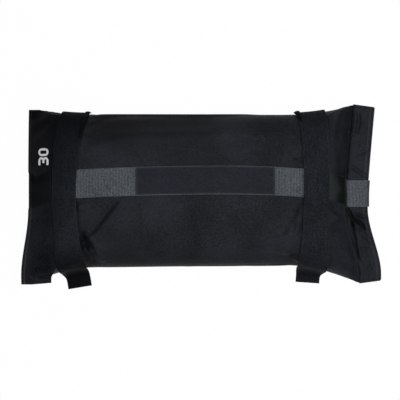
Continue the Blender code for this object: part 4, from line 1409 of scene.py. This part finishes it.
def makeNumber():
    n = numberForm
    wide, high, stroke = n["digitWidth"], n["digitHeight"], n["stroke"]
    low, top = high / 2 - stroke / 2, high / 2 + stroke / 2
    three = makeDigit([(-0.001, stroke, wide - stroke, low), (-0.001, top, wide - stroke, high - stroke),
                       (-0.001, low - 0.0001, wide * 0.26, top + 0.0001)], 2)
    zero = makeDigit([(stroke, stroke, wide - stroke, high - stroke)], 1)
    for digit, start in ((three, -n["between"] / 2 - wide), (zero, n["between"] / 2)):
        for vertex in digit.data.vertices:
            # the number reads from below upwards and lies on the flap
            x, y = vertex.co.x + start, vertex.co.y - high / 2
            vertex.co = onFlap(n["middle"][0] - y, n["middle"][1] + x, n["thickness"] + n["lift"])
    pickOnly(three)
    zero.select_set(True)
    bpy.ops.object.join()
    three.name = three.data.name = "flapNumber"
    finishPiece(three, "print", n["thickness"])
    fitPiece(three, "flap", None)


def onFlap(x, y, lift):
    # finds the flap's outer face over a place, by halving the angle
    low, high = flapForm["edgeAngle"], math.pi - flapForm["edgeAngle"]
    for _ in range(15):
        middle = (low + high) / 2
        if flapTop(x, middle).y > y:
            low = middle
        else:
            high = middle
    return flapTop(x, middle, lift)


print("printing the number")
makeNumber()


stageForm = {
    "floorSize": 8.0, "floorColour": (0.7, 0.7, 0.7, 1.0), "floorGlow": 0.985, "worldStrength": 0.12,
    "lampPower": 23.5, "lampSize": 0.9, "lampPlace": (0.42, -0.14, 1.56),
    "camera": (-0.0016, -0.0044, 2.1), "lens": 118.1,
}


def lightPathSwitch(kit):
    # 1 for what the camera, a mirror or glass sees
    rays = [kit.add("LightPath", f"Is {kind} Ray") for kind in ("Camera", "Glossy", "Transmission")]
    return kit.math("MAXIMUM", kit.math("MAXIMUM", *rays[:2]), rays[2])


def placeNew(name, data, place):
    item = bpy.data.objects.new(name, data)
    scene.collection.objects.link(item)
    item.location = place
    return item


def makeStage():
    s = stageForm
    bpy.ops.object.select_all(action="DESELECT")
    bpy.ops.mesh.primitive_plane_add(size=s["floorSize"], location=(0, 0, 0))
    floor = bpy.context.object
    floor.name = "floor"
    material = bpy.data.materials.new("paleFloor")
    kit = NodeKit(material)
    shader = kit.nodes["Principled BSDF"]
    kit.feed(shader, {"Base Color": s["floorColour"], "Roughness": 0.9, "Specular IOR Level": 0.0})
    glow = kit.add("Emission", 0, {"Strength": 1.0})
    seen = kit.math("MULTIPLY", lightPathSwitch(kit), s["floorGlow"])
    surface = kit.add("MixShader", 0, {0: seen, 1: shader.outputs[0], 2: glow})
    kit.feed(kit.nodes["Material Output"], {"Surface": surface})
    floor.data.materials.append(material)
    scene.world = bpy.data.worlds.new("studio")
    kit = NodeKit(scene.world)
    strength = kit.math("MULTIPLY_ADD", lightPathSwitch(kit), 1 - s["worldStrength"], s["worldStrength"])
    kit.feed(kit.nodes["Background"], {"Strength": strength, "Color": (1, 1, 1, 1)})
    lampData = bpy.data.lights.new("softLamp", "AREA")
    lampData.energy = s["lampPower"]
    lampData.size = s["lampSize"]
    lamp = placeNew("softLamp", lampData, s["lampPlace"])
    lamp.rotation_euler = (-Vector(s["lampPlace"])).to_track_quat("-Z", "Y").to_euler()
    cameraData = bpy.data.cameras.new("camera")
    cameraData.lens = s["lens"]
    cameraData.sensor_width = 36.0
    scene.camera = placeNew("camera", cameraData, s["camera"])
    scene.view_settings.view_transform = "Standard"


print("setting the stage")
makeStage()
